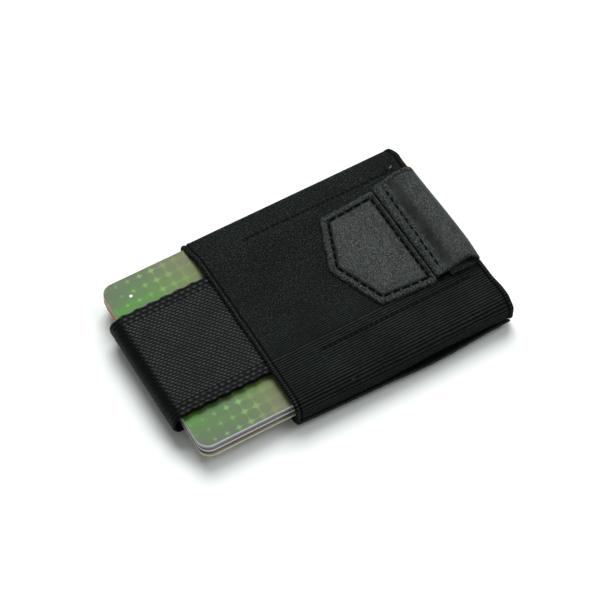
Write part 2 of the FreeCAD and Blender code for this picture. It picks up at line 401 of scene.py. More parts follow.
@dataclass
class Tree:
    """Short ways to add nodes to a node tree.

    Attributes:
        tree: The node tree that nodes are added to.
    """

    tree: bpy.types.NodeTree

    def add(self, kind: str, sources: Optional[dict] = None, **settings: object) -> bpy.types.Node:
        """Adds a node.

        Args:
            kind: Type of the node.
            sources: For each input, its value or the socket that feeds it.
            settings: Attributes of the node.

        Returns:
            The new node.
        """
        node = self.tree.nodes.new(kind)
        for key, value in settings.items():
            setattr(node, key, value)
        for key, value in (sources or {}).items():
            self.feed(node.inputs[key], value)
        return node

    def feed(self, socket: bpy.types.NodeSocket, value: object) -> None:
        """Sets an input to a value, or links it to a socket."""
        if isinstance(value, bpy.types.NodeSocket):
            self.tree.links.new(value, socket)
        else:
            socket.default_value = value

    def math(self, operation: str, *values: object) -> bpy.types.NodeSocket:
        """Adds a Math node and gives its result."""
        return self.add("ShaderNodeMath", dict(enumerate(values)), operation=operation).outputs[0]

    def vector(self, operation: str, *values: object) -> bpy.types.NodeSocket:
        """Adds a Vector Math node and gives its result."""
        made = self.add("ShaderNodeVectorMath", dict(enumerate(values)), operation=operation)
        return made.outputs["Value" if operation in ("LENGTH", "DISTANCE", "DOT_PRODUCT") else "Vector"]

    def scaled(self, source: object, by: Sequence[float]) -> bpy.types.NodeSocket:
        """Multiplies a vector by three numbers."""
        return self.vector("MULTIPLY", source, tuple(by))

    def noise(
        self, source: object, scale: object, detail: float = 2.0, rough: float = 0.5
    ) -> bpy.types.NodeSocket:
        """Adds a Noise Texture and gives its value."""
        feeds = {"Vector": source, "Scale": scale, "Detail": detail, "Roughness": rough}
        return self.add("ShaderNodeTexNoise", feeds).outputs["Fac"]

    def range(
        self, value: object, low: object, high: object, to_low: object = 0.0, to_high: object = 1.0
    ) -> bpy.types.NodeSocket:
        """Maps a value smoothly from one range to another, and holds it there."""
        feeds = {"Value": value, "From Min": low, "From Max": high, "To Min": to_low, "To Max": to_high}
        return self.add("ShaderNodeMapRange", feeds, interpolation_type="SMOOTHSTEP").outputs["Result"]

    def mix(self, share: object, first: object, second: object) -> bpy.types.NodeSocket:
        """Mixes two colours."""
        made = self.add("ShaderNodeMix", data_type="RGBA")
        self.feed(made.inputs["Factor"], share)
        self.feed(made.inputs[6], first)
        self.feed(made.inputs[7], second)
        return made.outputs[2]

    def split(self, source: object) -> Sequence[bpy.types.NodeSocket]:
        """Gives the X, Y and Z of a vector."""
        return self.add("ShaderNodeSeparateXYZ", {"Vector": source}).outputs

    def join(self, x: object, y: object, z: object) -> bpy.types.NodeSocket:
        """Makes a vector of three values."""
        return self.add("ShaderNodeCombineXYZ", {"X": x, "Y": y, "Z": z}).outputs[0]

    def wave(self, value: object, pitch: float) -> bpy.types.NodeSocket:
        """Gives a wave from 0 to 1 with that pitch."""
        turned = self.math("MULTIPLY", value, TURN / pitch)
        return self.math("MULTIPLY_ADD", self.math("SINE", turned), 0.5, 0.5)

    def map(self, name: str) -> bpy.types.NodeSocket:
        """Reads a UV map."""
        return self.add("ShaderNodeUVMap", uv_map=name).outputs["UV"]

    def place(self) -> bpy.types.NodeSocket:
        """Gives the place on the piece, in millimetres."""
        found = self.add("ShaderNodeTexCoord").outputs["Object"]
        return self.scaled(found, (1 / MM,) * 3)

    def group(self, made: bpy.types.NodeTree, sources: dict) -> Sequence[bpy.types.NodeSocket]:
        """Places a node group and gives its outputs."""
        node = self.tree.nodes.new("ShaderNodeGroup")
        node.node_tree = made
        for key, value in sources.items():
            self.feed(node.inputs[key], value)
        return node.outputs


def new_group(name: str, inputs: dict, outputs: dict) -> tuple[Tree, dict, bpy.types.Node]:
    """Starts a shader node group.

    Args:
        name: Name of the group.
        inputs: Type of each input socket, and its default.
        outputs: Type of each output socket.

    Returns:
        The tree, the input sockets by name, and the group's output node.
    """
    made = bpy.data.node_groups.new(name, "ShaderNodeTree")
    for key, (kind, default) in inputs.items():
        socket = made.interface.new_socket(key, in_out="INPUT", socket_type=kind)
        if default is not None:
            socket.default_value = default
    for key, kind in outputs.items():
        made.interface.new_socket(key, in_out="OUTPUT", socket_type=kind)
    tree = Tree(made)
    start = tree.add("NodeGroupInput")
    end = tree.add("NodeGroupOutput")
    return tree, {key: start.outputs[key] for key in inputs}, end


FLOAT = "NodeSocketFloat"
VECTOR = "NodeSocketVector"
COLOR = "NodeSocketColor"


def ribbed_weave() -> bpy.types.NodeTree:
    """Builds the group for ribbed elastic: long ribs crossed by a finer weft.

    Returns:
        The group. Its Place is the place on the flat cloth, in millimetres.
    """
    inputs = {
        "Place": (VECTOR, None),
        "Rib Pitch": (FLOAT, 0.8),
        "Weft Pitch": (FLOAT, 0.45),
        "Rib Depth": (FLOAT, 1.0),
        "Weft Depth": (FLOAT, 0.5),
    }
    t, i, end = new_group("ribbed_weave", inputs, {"Height": FLOAT, "Crest": FLOAT})
    wander = t.noise(t.scaled(i["Place"], (0.08, 0.5, 0.5)), 1.0)
    x, y, _ = t.split(i["Place"])
    bent = t.math("MULTIPLY_ADD", wander, 0.3, y)
    across = t.math("DIVIDE", bent, i["Rib Pitch"])
    rib = t.math("MULTIPLY_ADD", t.math("SINE", t.math("MULTIPLY", across, TURN)), 0.5, 0.5)
    stagger = t.math("MULTIPLY", t.math("FLOOR", across), 0.5)
    along = t.math("ADD", t.math("DIVIDE", x, i["Weft Pitch"]), stagger)
    weft = t.math("MULTIPLY_ADD", t.math("SINE", t.math("MULTIPLY", along, TURN)), 0.5, 0.5)
    ribs = t.math("MULTIPLY", rib, i["Rib Depth"])
    wefts = t.math("MULTIPLY", t.math("MULTIPLY", weft, i["Weft Depth"]), rib)
    height = t.math("ADD", ribs, wefts)
    t.feed(end.inputs["Height"], height)
    t.feed(end.inputs["Crest"], t.math("MULTIPLY", rib, t.math("MULTIPLY_ADD", weft, 0.5, 0.5)))
    return t.tree


def specks() -> bpy.types.NodeTree:
    """Builds the group for dust and lint: few small specks, each of its own size."""
    inputs = {"Place": (VECTOR, None), "Spacing": (FLOAT, 3.0), "Size": (FLOAT, 0.06)}
    t, i, end = new_group("specks", inputs, {"Mask": FLOAT})
    density = t.math("DIVIDE", 1.0, i["Spacing"])
    cells = t.add("ShaderNodeTexVoronoi", {"Vector": i["Place"], "Scale": density})
    chance = t.split(cells.outputs["Color"])[0]
    size = t.math("MULTIPLY", i["Size"], t.range(chance, 0.55, 1.0))
    mask = t.math("LESS_THAN", cells.outputs["Distance"], size)
    t.feed(end.inputs["Mask"], mask)
    return t.tree


def cloudy_tone() -> bpy.types.NodeTree:
    """Builds the group for slow changes of tone over a surface."""
    inputs = {
        "Place": (VECTOR, None),
        "Scale": (FLOAT, 0.1),
        "First": (COLOR, (0, 0, 0, 1)),
        "Second": (COLOR, (1, 1, 1, 1)),
    }
    t, i, end = new_group("cloudy_tone", inputs, {"Color": COLOR, "Share": FLOAT})
    share = t.range(t.noise(i["Place"], i["Scale"], 5.0, 0.6), 0.3, 0.7)
    t.feed(end.inputs["Color"], t.mix(share, i["First"], i["Second"]))
    t.feed(end.inputs["Share"], share)
    return t.tree


def fibres() -> bpy.types.NodeTree:
    """Builds the group for fine fibres that run along X, such as a yarn's filaments."""
    inputs = {"Place": (VECTOR, None), "Length": (FLOAT, 1.5), "Width": (FLOAT, 0.08)}
    t, i, end = new_group("fibres", inputs, {"Height": FLOAT})
    x, y, z = t.split(i["Place"])
    along = t.math("DIVIDE", x, i["Length"])
    over = t.math("DIVIDE", y, i["Width"])
    deep = t.math("DIVIDE", z, i["Width"])
    t.feed(end.inputs["Height"], t.noise(t.join(along, over, deep), 1.0, 2.0))
    return t.tree


def hide_grain() -> bpy.types.NodeTree:
    """Builds the group for leather grain: thin creases round small pebbles, and soft wrinkles."""
    inputs = {
        "Place": (VECTOR, None),
        "Pebble": (FLOAT, 0.6),
        "Wrinkle": (FLOAT, 2.5),
        "Wrinkle Depth": (FLOAT, 0.5),
    }
    t, i, end = new_group("hide_grain", inputs, {"Height": FLOAT, "Crease": FLOAT})
    density = t.math("DIVIDE", 1.0, i["Pebble"])
    turned = t.add("ShaderNodeVectorRotate", {"Vector": i["Place"], "Angle": 0.6}).outputs[0]
    grain = t.noise(t.scaled(turned, (1.0, 0.5, 1.0)), density, 3.0, 0.6)
    ridge = t.math("ABSOLUTE", t.math("SUBTRACT", grain, 0.5))
    pebble = t.range(ridge, 0.0, 0.06)
    fine = t.noise(i["Place"], t.math("MULTIPLY", density, 3.0), 3.0)
    wrinkle = t.noise(t.scaled(turned, (1.0, 0.45, 1.0)), t.math("DIVIDE", 1.0, i["Wrinkle"]), 3.0)
    rough = t.math("MULTIPLY_ADD", fine, 0.25, t.math("MULTIPLY", pebble, 0.55))
    height = t.math("MULTIPLY_ADD", t.math("MULTIPLY", wrinkle, i["Wrinkle Depth"]), 2.0, rough)
    t.feed(end.inputs["Height"], height)
    # The Crease mask marks the grain's creases, where the leather is painted darker as shade.
    t.feed(end.inputs["Crease"], t.math("SUBTRACT", 1.0, pebble))
    return t.tree


@dataclass
class Groups:
    """The node groups that the finishes share, each built once."""

    ribs: bpy.types.NodeTree = field(default_factory=ribbed_weave)
    specks: bpy.types.NodeTree = field(default_factory=specks)
    tone: bpy.types.NodeTree = field(default_factory=cloudy_tone)
    fibres: bpy.types.NodeTree = field(default_factory=fibres)
    grain: bpy.types.NodeTree = field(default_factory=hide_grain)


Colour = tuple[float, float, float, float]


def grey(value: float, warm: float = 0.0) -> Colour:
    """Gives a grey, a little warmer or cooler than neutral."""
    return (value * (1 + warm), value, value * (1 - warm), 1.0)


def ink(value: float) -> Colour:
    """Gives the faintly green black that the cloth and the leather are dyed."""
    return (value * 0.86, value, value * 0.97, 1.0)


@dataclass
class Surface:
    """A material under construction: its tree and its Principled shader.

    Attributes:
        name: Name of the material.
    """

    name: str
    tree: Tree = field(init=False)
    shader: bpy.types.Node = field(init=False)
    material: bpy.types.Material = field(init=False)

    def __post_init__(self) -> None:
        """Makes the material with one Principled shader."""
        self.material = bpy.data.materials.new(self.name)
        self.material.use_nodes = True
        nodes = self.material.node_tree.nodes
        self.shader = nodes["Principled BSDF"]
        self.tree = Tree(self.material.node_tree)

    def set(self, **values: object) -> None:
        """Sets or links inputs of the shader. An underscore in a name stands for a space."""
        for key, value in values.items():
            self.tree.feed(self.shader.inputs[key.replace("_", " ")], value)

    def bump(self, height: object, depth: float, strength: float = 1.0) -> None:
        """Adds relief of that depth, in millimetres."""
        feeds = {"Height": height, "Distance": depth * MM, "Strength": strength}
        made = self.tree.add("ShaderNodeBump", feeds)
        self.tree.feed(self.shader.inputs["Normal"], made.outputs["Normal"])


@dataclass(frozen=True)
class ElasticFinish:
    """Matt black ribbed elastic.

    Attributes:
        low: Colour between the ribs, darkened there as painted shade.
        high: Colour of the ribs' crests, lighter there as painted light.
        lint: Colour of the lint on it.
        rib_pitch: Spacing of the ribs, in millimetres.
    """

    low: Colour = ink(0.004)
    high: Colour = ink(0.058)
    lint: Colour = ink(0.085)
    rib_pitch: float = 0.715

    def make(self, g: Groups, name: str, strong_from: float, strong_to: float) -> bpy.types.Material:
        """Makes the material.

        Args:
            g: The shared node groups.
            name: Name of the material.
            strong_from: Place across the cloth where the ribs are at their clearest, both in relief and in
                their painted light and shade.
            strong_to: Place across it where they are at their faintest.

        Returns:
            The material.
        """
        s = Surface(name)
        t = s.tree
        cloth = t.map(CLOTH_MAP)
        across = t.split(cloth)[1]
        clear = t.range(across, strong_from, strong_to, 1.0, 0.12)
        feeds = {
            "Place": cloth,
            "Rib Pitch": self.rib_pitch,
            "Weft Pitch": 0.42,
            "Rib Depth": clear,
            "Weft Depth": 0.55,
        }
        ribs = t.group(g.ribs, feeds)
        speckle = t.noise(cloth, 2.6, 3.0, 0.7)
        mottle = t.range(t.noise(cloth, 0.75, 3.0, 0.6), 0.3, 0.7, 0.72, 1.28)
        cloud = t.group(g.tone, {"Place": cloth, "Scale": 0.09})
        lint = t.group(g.specks, {"Place": cloth, "Spacing": 2.3, "Size": 0.055})["Mask"]
        # Painted light and shade: rib crests take the lighter colour and the hollows between ribs the darker
        # one. This is strongest on the near half, where the speckle is weakest.
        crest_light = t.math("MULTIPLY", t.range(ribs["Crest"], 0.3, 0.9), clear)
        dotted = t.math("MULTIPLY", t.range(speckle, 0.42, 0.78), t.math("SUBTRACT", 1.25, clear))
        crest_light_and_speckle = t.math("MULTIPLY_ADD", dotted, 1.0, t.math("MULTIPLY", crest_light, 0.75))
        tone = t.math("MULTIPLY", t.math("MULTIPLY_ADD", cloud["Share"], 0.35, 0.6), mottle)
        relief = t.split(t.map(RELIEF_MAP))[0]
        # Painted shade and painted light: the colour darkens where the relief map sinks, in grooves such as
        # the hem's groove and the stitch rows. It lightens on raised ridges such as the hem's rolled edge.
        sunk = t.range(relief, -0.12, -0.01, 0.05, 1.0)
        pressed = t.math("MULTIPLY", sunk, t.range(relief, 0.1, 0.3, 1.0, 1.7))
        share = t.math("MULTIPLY", t.math("MULTIPLY", crest_light_and_speckle, tone), pressed)
        woven = t.mix(share, self.low, self.high)
        s.set(Base_Color=t.mix(lint, woven, self.lint))
        s.set(Roughness=t.range(speckle, 0.3, 0.8, 0.95, 0.7))
        s.set(Specular_IOR_Level=0.035, Sheen_Weight=0.004, Sheen_Roughness=0.5)
        height = t.math("MULTIPLY_ADD", speckle, 1.3, ribs["Height"])
        s.bump(height, 0.13)
        return s.material


@dataclass(frozen=True)
class WebbingFinish:
    """Black nylon webbing, whose yarns shine a little.

    Attributes:
        gap_shade: Colour deep between the yarns, a painted shade.
        yarn: Colour of the yarns' backs, partly lighter as painted sheen.
        full: Relief at which a yarn has its full colour, in millimetres.
    """

    gap_shade: Colour = ink(0.0022)
    yarn: Colour = ink(0.096)
    full: float = 0.3

    def make(self, g: Groups, name: str) -> bpy.types.Material:
        """Makes the material for webbing whose floats are modelled."""
        s = Surface(name)
        t = s.tree
        height = t.split(t.map(RELIEF_MAP))[0]
        cloth = t.map(CLOTH_MAP)
        strands = t.group(g.fibres, {"Place": cloth, "Length": 1.6, "Width": 0.11})["Height"]
        cloud = t.group(g.tone, {"Place": cloth, "Scale": 0.16})
        # Painted shade and sheen: where the relief map is low, between the floats, the colour goes to the
        # dark gap colour. The floats' backs take the lighter yarn colour.
        lift = t.range(height, self.full * 0.36, self.full)
        toned = t.math("MULTIPLY", lift, t.math("MULTIPLY_ADD", cloud["Share"], 0.4, 0.6))
        share = t.math("MULTIPLY", toned, t.math("MULTIPLY_ADD", strands, 0.5, 0.7))
        s.set(Base_Color=t.mix(share, self.gap_shade, self.yarn))
        s.set(Roughness=t.range(strands, 0.3, 0.7, 0.62, 0.45))
        s.set(Specular_IOR_Level=0.09, Sheen_Weight=0.004, Sheen_Roughness=0.4)
        s.bump(strands, 0.03)
        return s.material

    def make_flat(self, g: Groups, name: str) -> bpy.types.Material:
        """Makes the material for webbing whose weave follows the place in space."""
        s = Surface(name)
        t = s.tree
        place = t.place()
        feeds = {"Place": place, "Rib Pitch": 0.87, "Weft Pitch": 1.25, "Rib Depth": 1.0, "Weft Depth": 1.0}
        weave = t.group(g.ribs, feeds)
        strands = t.group(g.fibres, {"Place": place, "Length": 1.6, "Width": 0.11})["Height"]
        # Painted shade and sheen: the weave's hollows take the dark gap colour and its crests the lighter
        # yarn colour.
        lift = t.range(weave["Crest"], 0.15, 0.8)
        share = t.math("MULTIPLY", lift, t.math("MULTIPLY_ADD", strands, 0.5, 0.6))
        s.set(Base_Color=t.mix(share, self.gap_shade, self.yarn))
        s.set(Roughness=t.range(strands, 0.3, 0.7, 0.62, 0.45))
        s.set(Specular_IOR_Level=0.08, Sheen_Weight=0.004, Sheen_Roughness=0.4)
        s.bump(t.math("MULTIPLY_ADD", strands, 0.1, weave["Height"]), 0.25)
        return s.material


@dataclass(frozen=True)
class LeatherFinish:
    """Black grained leather with rough cut edges.

    Attributes:
        crease_shade: Colour in the creases of the grain, a painted shade.
        hide: Colour of the grain's pebbles.
        raw: Colour of the rough cut edge.
    """

    crease_shade: Colour = ink(0.004)
    hide: Colour = ink(0.017)
    raw: Colour = ink(0.18)

    def make(self, g: Groups, name: str, rim: float, fade: float) -> bpy.types.Material:
        """Makes the material.

        Args:
            g: The shared node groups.
            name: Name of the material.
            rim: Width of the rough edge, in millimetres from the cut.
            fade: Width over which it turns into smooth hide.

        Returns:
            The material. The relief map's second number is the distance from the cut.
        """
        s = Surface(name)
        t = s.tree
        place = t.place()
        grain = t.group(g.grain, {"Place": place, "Pebble": 0.3, "Wrinkle": 2.2, "Wrinkle Depth": 0.8})
        # Lighter cloudy patches: partly random tone and partly painted soft highlights.
        cloud = t.group(g.tone, {"Place": place, "Scale": 0.22, "First": self.hide, "Second": ink(0.042)})
        # Painted shade: the grain's creases are darkened towards the crease colour.
        hide = t.mix(t.math("MULTIPLY", grain["Crease"], 0.5), cloud["Color"], self.crease_shade)
        from_cut = t.split(t.map(CLOTH_MAP))[0]
        ragged = t.math("MULTIPLY_ADD", t.noise(place, 1.3, 4.0, 0.7), 1.1, -0.55)
        edge = t.range(t.math("ADD", from_cut, ragged), rim, rim + fade, 1.0, 0.0)
        fuzz = t.noise(place, 2.6, 4.0, 0.75)
        raw = t.mix(t.range(fuzz, 0.43, 0.70), ink(0.014), self.raw)
        s.set(Base_Color=t.mix(edge, hide, raw))
        shine = t.range(cloud["Share"], 0.0, 1.0, 0.4, 0.52)
        s.set(Roughness=t.math("MULTIPLY_ADD", edge, 0.5, shine))
        s.set(Specular_IOR_Level=0.28)
        rough = t.math("MULTIPLY", t.math("MULTIPLY", fuzz, edge), 5.0)
        s.bump(t.math("ADD", rough, grain["Height"]), 0.14)
        return s.material


@dataclass(frozen=True)
class ThreadFinish:
    """Black sewing thread, two plies twisted together.

    Attributes:
        low: Colour between the plies, a painted shade.
        high: Colour of their backs.
    """

    low: Colour = ink(0.0012)
    high: Colour = ink(0.008)

    def make(self, g: Groups, name: str) -> bpy.types.Material:
        """Makes the material."""
        s = Surface(name)
        t = s.tree
        cloth = t.map(CLOTH_MAP)
        x, y, _ = t.split(cloth)
        ply = t.wave(t.math("ADD", x, t.math("MULTIPLY", y, 0.7)), 0.45)
        fluff = t.group(g.fibres, {"Place": t.place(), "Length": 0.8, "Width": 0.08})["Height"]
        # Painted shade: the colour darkens between the plies.
        share = t.math("MULTIPLY", ply, t.range(fluff, 0.2, 0.8))
        s.set(Base_Color=t.mix(share, self.low, self.high))
        s.set(Roughness=t.range(fluff, 0.3, 0.7, 0.8, 0.6))
        s.set(Specular_IOR_Level=0.04, Sheen_Weight=0.004)
        s.bump(t.math("MULTIPLY_ADD", fluff, 0.4, ply), 0.06)
        return s.material


@dataclass(frozen=True)
class LiningFinish:
    """Thin black plain weave.

    Attributes:
        low: Colour between the threads, a painted shade.
        high: Colour of the threads.
    """

    low: Colour = ink(0.004)
    high: Colour = ink(0.02)

    def make(self, g: Groups, name: str) -> bpy.types.Material:
        """Makes the material."""
        s = Surface(name)
        t = s.tree
        place = t.place()
        feeds = {"Place": place, "Rib Pitch": 0.35, "Weft Pitch": 0.35, "Rib Depth": 0.5, "Weft Depth": 1.0}
        weave = t.group(g.ribs, feeds)
        cloud = t.group(g.tone, {"Place": place, "Scale": 0.12})
        # Painted shade: the colour darkens between the threads, away from the weave's crests.
        share = t.math("MULTIPLY", weave["Crest"], t.math("MULTIPLY_ADD", cloud["Share"], 0.5, 0.5))
        s.set(Base_Color=t.mix(share, self.low, self.high))
        s.set(Roughness=t.range(weave["Crest"], 0.0, 1.0, 0.9, 0.7))
        s.bump(weave["Height"], 0.06)
        return s.material


@dataclass(frozen=True)
class CardFinish:
    """Plain printed plastic card with a paler core at its edges.

    Attributes:
        face: Colour of the print.
        shade: Second colour, which the print drifts towards.
        core: Colour of the edge at the near side.
        far_core: Colour of the edge at the far side.
    """

    face: Colour
    shade: Colour
    core: Colour
    far_core: Colour

    def edge(self, t: Tree, place: bpy.types.NodeSocket) -> tuple[bpy.types.NodeSocket, bpy.types.NodeSocket]:
        """Gives the colour of the cut edge, and a mask that is 1 on it.

        Args:
            t: The material's tree.
            place: Place in millimetres.

        Returns:
            The colour and the mask.
        """
        y = t.split(place)[1]
        streak = t.noise(t.scaled(place, (0.4, 0.4, 6.0)), 1.5, 3.0)
        drift = t.math("ADD", y, t.math("MULTIPLY", streak, 8.0))
        colour = t.mix(t.range(drift, -12.0, 22.0), self.core, self.far_core)
        dulled = t.mix(t.range(streak, 0.4, 0.8, 0.0, 0.35), colour, self.shade)
        normal = t.add("ShaderNodeNewGeometry").outputs["Normal"]
        tilt = t.math("ABSOLUTE", t.split(normal)[2])
        return dulled, t.range(tilt, 0.55, 0.9, 1.0, 0.0)

    def dress(self, s: Surface, printed: bpy.types.NodeSocket, place: bpy.types.NodeSocket) -> None:
        """Puts the print and the edge on the shader, with fine scuffs in the gloss."""
        t = s.tree
        edge, mask = self.edge(t, place)
        scuff = t.noise(t.scaled(place, (0.25, 2.2, 1.0)), 1.6, 4.0, 0.65)
        s.set(Base_Color=t.mix(mask, printed, edge))
        s.set(Roughness=t.range(scuff, 0.35, 0.8, 0.34, 0.5))
        s.set(Specular_IOR_Level=0.14, Coat_Weight=0.01, Coat_Roughness=0.25)
        s.bump(t.noise(place, 1.1, 2.0), 0.006)

    def make(self, g: Groups, name: str) -> bpy.types.Material:
        """Makes the material: a soft two-colour print with a stripe on its back."""
        s = Surface(name)
        t = s.tree
        place = t.place()
        cloud = t.group(g.tone, {"Place": place, "Scale": 0.045, "First": self.face, "Second": self.shade})
        x, y, _ = t.split(place)
        band = t.wave(t.math("MULTIPLY_ADD", y, 0.8, x), 17.0)
        front = t.mix(t.math("MULTIPLY", band, 0.25), cloud["Color"], self.shade)
        stripe = t.math("MULTIPLY", t.range(y, 9.6, 10.0), t.range(y, 21.4, 21.8, 1.0, 0.0))
        back = t.mix(stripe, cloud["Color"], grey(0.012))
        up = t.range(t.split(t.add("ShaderNodeNewGeometry").outputs["Normal"])[2], -0.2, 0.2)
        self.dress(s, t.mix(up, back, front), place)
        return s.material


@dataclass(frozen=True)
class DottedCardFinish(CardFinish):
    """Card printed with dots that grow until only bright stars are left between them.

    Attributes:
        pitch_x: Spacing of the dots along the card, in millimetres.
        pitch_y: Their spacing across it.
        first_star: Place of one of the stars.
        star_end: Place along the card where the last stars vanish.
        dot_end: Place along it where the dots are at their smallest.
        spark: Place of the one small white dot.
    """

    pitch_x: float = 3.27
    pitch_y: float = 3.21
    first_star: tuple[float, float] = (-50.35, 19.05)
    star_end: float = -53.0
    dot_end: float = -28.0
    spark: tuple[float, float] = (-48.33, 21.22)

    def make(self, g: Groups, name: str) -> bpy.types.Material:
        """Makes the material."""
        s = Surface(name)
        t = s.tree
        place = t.place()
        x, y, _ = t.split(place)
        sway = t.noise(place, 0.07, 2.0)
        grid = t.vector("SUBTRACT", place, (*self.first_star, 0.0))
        cells = t.vector("DIVIDE", grid, (self.pitch_x, self.pitch_y, 1.0))
        inside = t.vector("SUBTRACT", t.vector("FRACTION", cells), (0.5, 0.5, 0.0))
        cell_x, cell_y, _ = t.split(inside)
        away = t.vector("LENGTH", t.join(cell_x, cell_y, 0.0))
        size = t.range(x, self.star_end, self.dot_end, 0.61, 0.42)
        star = t.range(t.math("SUBTRACT", away, size), -0.09, 0.15)
        fade = t.range(t.math("MULTIPLY_ADD", sway, 4.0, x), self.star_end, -49.0)
        fade = t.math("MULTIPLY", fade, t.range(x, -40.0, -34.0, 1.0, 0.4))
        inner = t.range(t.math("ABSOLUTE", y), 17.0, 26.5, 1.0, 0.2)
        patchy = t.noise(t.scaled(place, (0.35, 1.0, 1.0)), 0.3, 3.0)
        vivid = t.math("MULTIPLY", inner, t.range(patchy, 0.3, 0.6, 0.35, 1.0))
        ground = t.mix(vivid, self.shade, self.face)
        warmth = t.range(t.math("MULTIPLY_ADD", sway, 6.0, x), -44.0, -26.0)
        ground = t.mix(t.math("MULTIPLY", warmth, 0.8), ground, (0.150, 0.155, 0.070, 1.0))
        ground = t.mix(t.range(x, -20.0, 22.0), ground, (0.62, 0.14, 0.05, 1.0))
        bright = t.mix(warmth, (0.19, 0.39, 0.10, 1.0), (0.24, 0.28, 0.08, 1.0))
        nearest = t.vector("FLOOR", t.vector("ADD", cells, (0.5, 0.5, 0.0)))
        chance = t.add("ShaderNodeTexWhiteNoise", {"Vector": nearest}, noise_dimensions="2D")
        glint = t.math("MULTIPLY_ADD", chance.outputs["Value"], 0.55, 0.45)
        shown = t.math("MULTIPLY", t.math("MULTIPLY", star, fade), glint)
        spark = t.math("LESS_THAN", t.vector("DISTANCE", place, (*self.spark, 7.35)), 0.42)
        self.dress(s, t.mix(spark, t.mix(shown, ground, bright), grey(0.8)), place)
        return s.material


@dataclass(frozen=True)
class FloorFinish:
    """Plain pale floor."""

    colour: Colour = (0.955, 0.970, 0.963, 1.0)

    def make(self, g: Groups, name: str) -> bpy.types.Material:
        """Makes the material."""
        s = Surface(name)
        t = s.tree
        place = t.place()
        second = (0.958, 0.972, 0.966, 1.0)
        cloud = t.group(g.tone, {"Place": place, "Scale": 0.004, "First": self.colour, "Second": second})
        s.set(Base_Color=cloud["Color"])
        s.set(Roughness=t.range(cloud["Share"], 0.0, 1.0, 0.8, 0.85), Specular_IOR_Level=0.1)
        return s.material


# ---- Fitting pieces to the frame ----


@dataclass
class Fitter:
    """Dresses pieces and ties them to the frame.

    Attributes:
        groups: The shared node groups.
    """

    groups: Groups

    def fit(
        self,
        piece: bpy.types.Object,
        material: bpy.types.Material,
        nodes: Sequence[str],
        body: Optional[str],
    ) -> bpy.types.Object:
        """Gives a piece its material, hides the CAD nodes that it stands for, and ties it to its body.

        Args:
            piece: The piece.
            material: Its material.
            nodes: The CAD nodes that it stands for.
            body: The body it moves with, or None to tie it to no body.

        Returns:
            The same piece.
        """
        piece.data.materials.clear()
        piece.data.materials.append(material)
        if nodes:
            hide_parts(*nodes)
        if body:
            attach(piece, body)
        LOG.info("%s: %d faces, for %s", piece.name, len(piece.data.polygons), ", ".join(nodes) or "trim")
        return piece


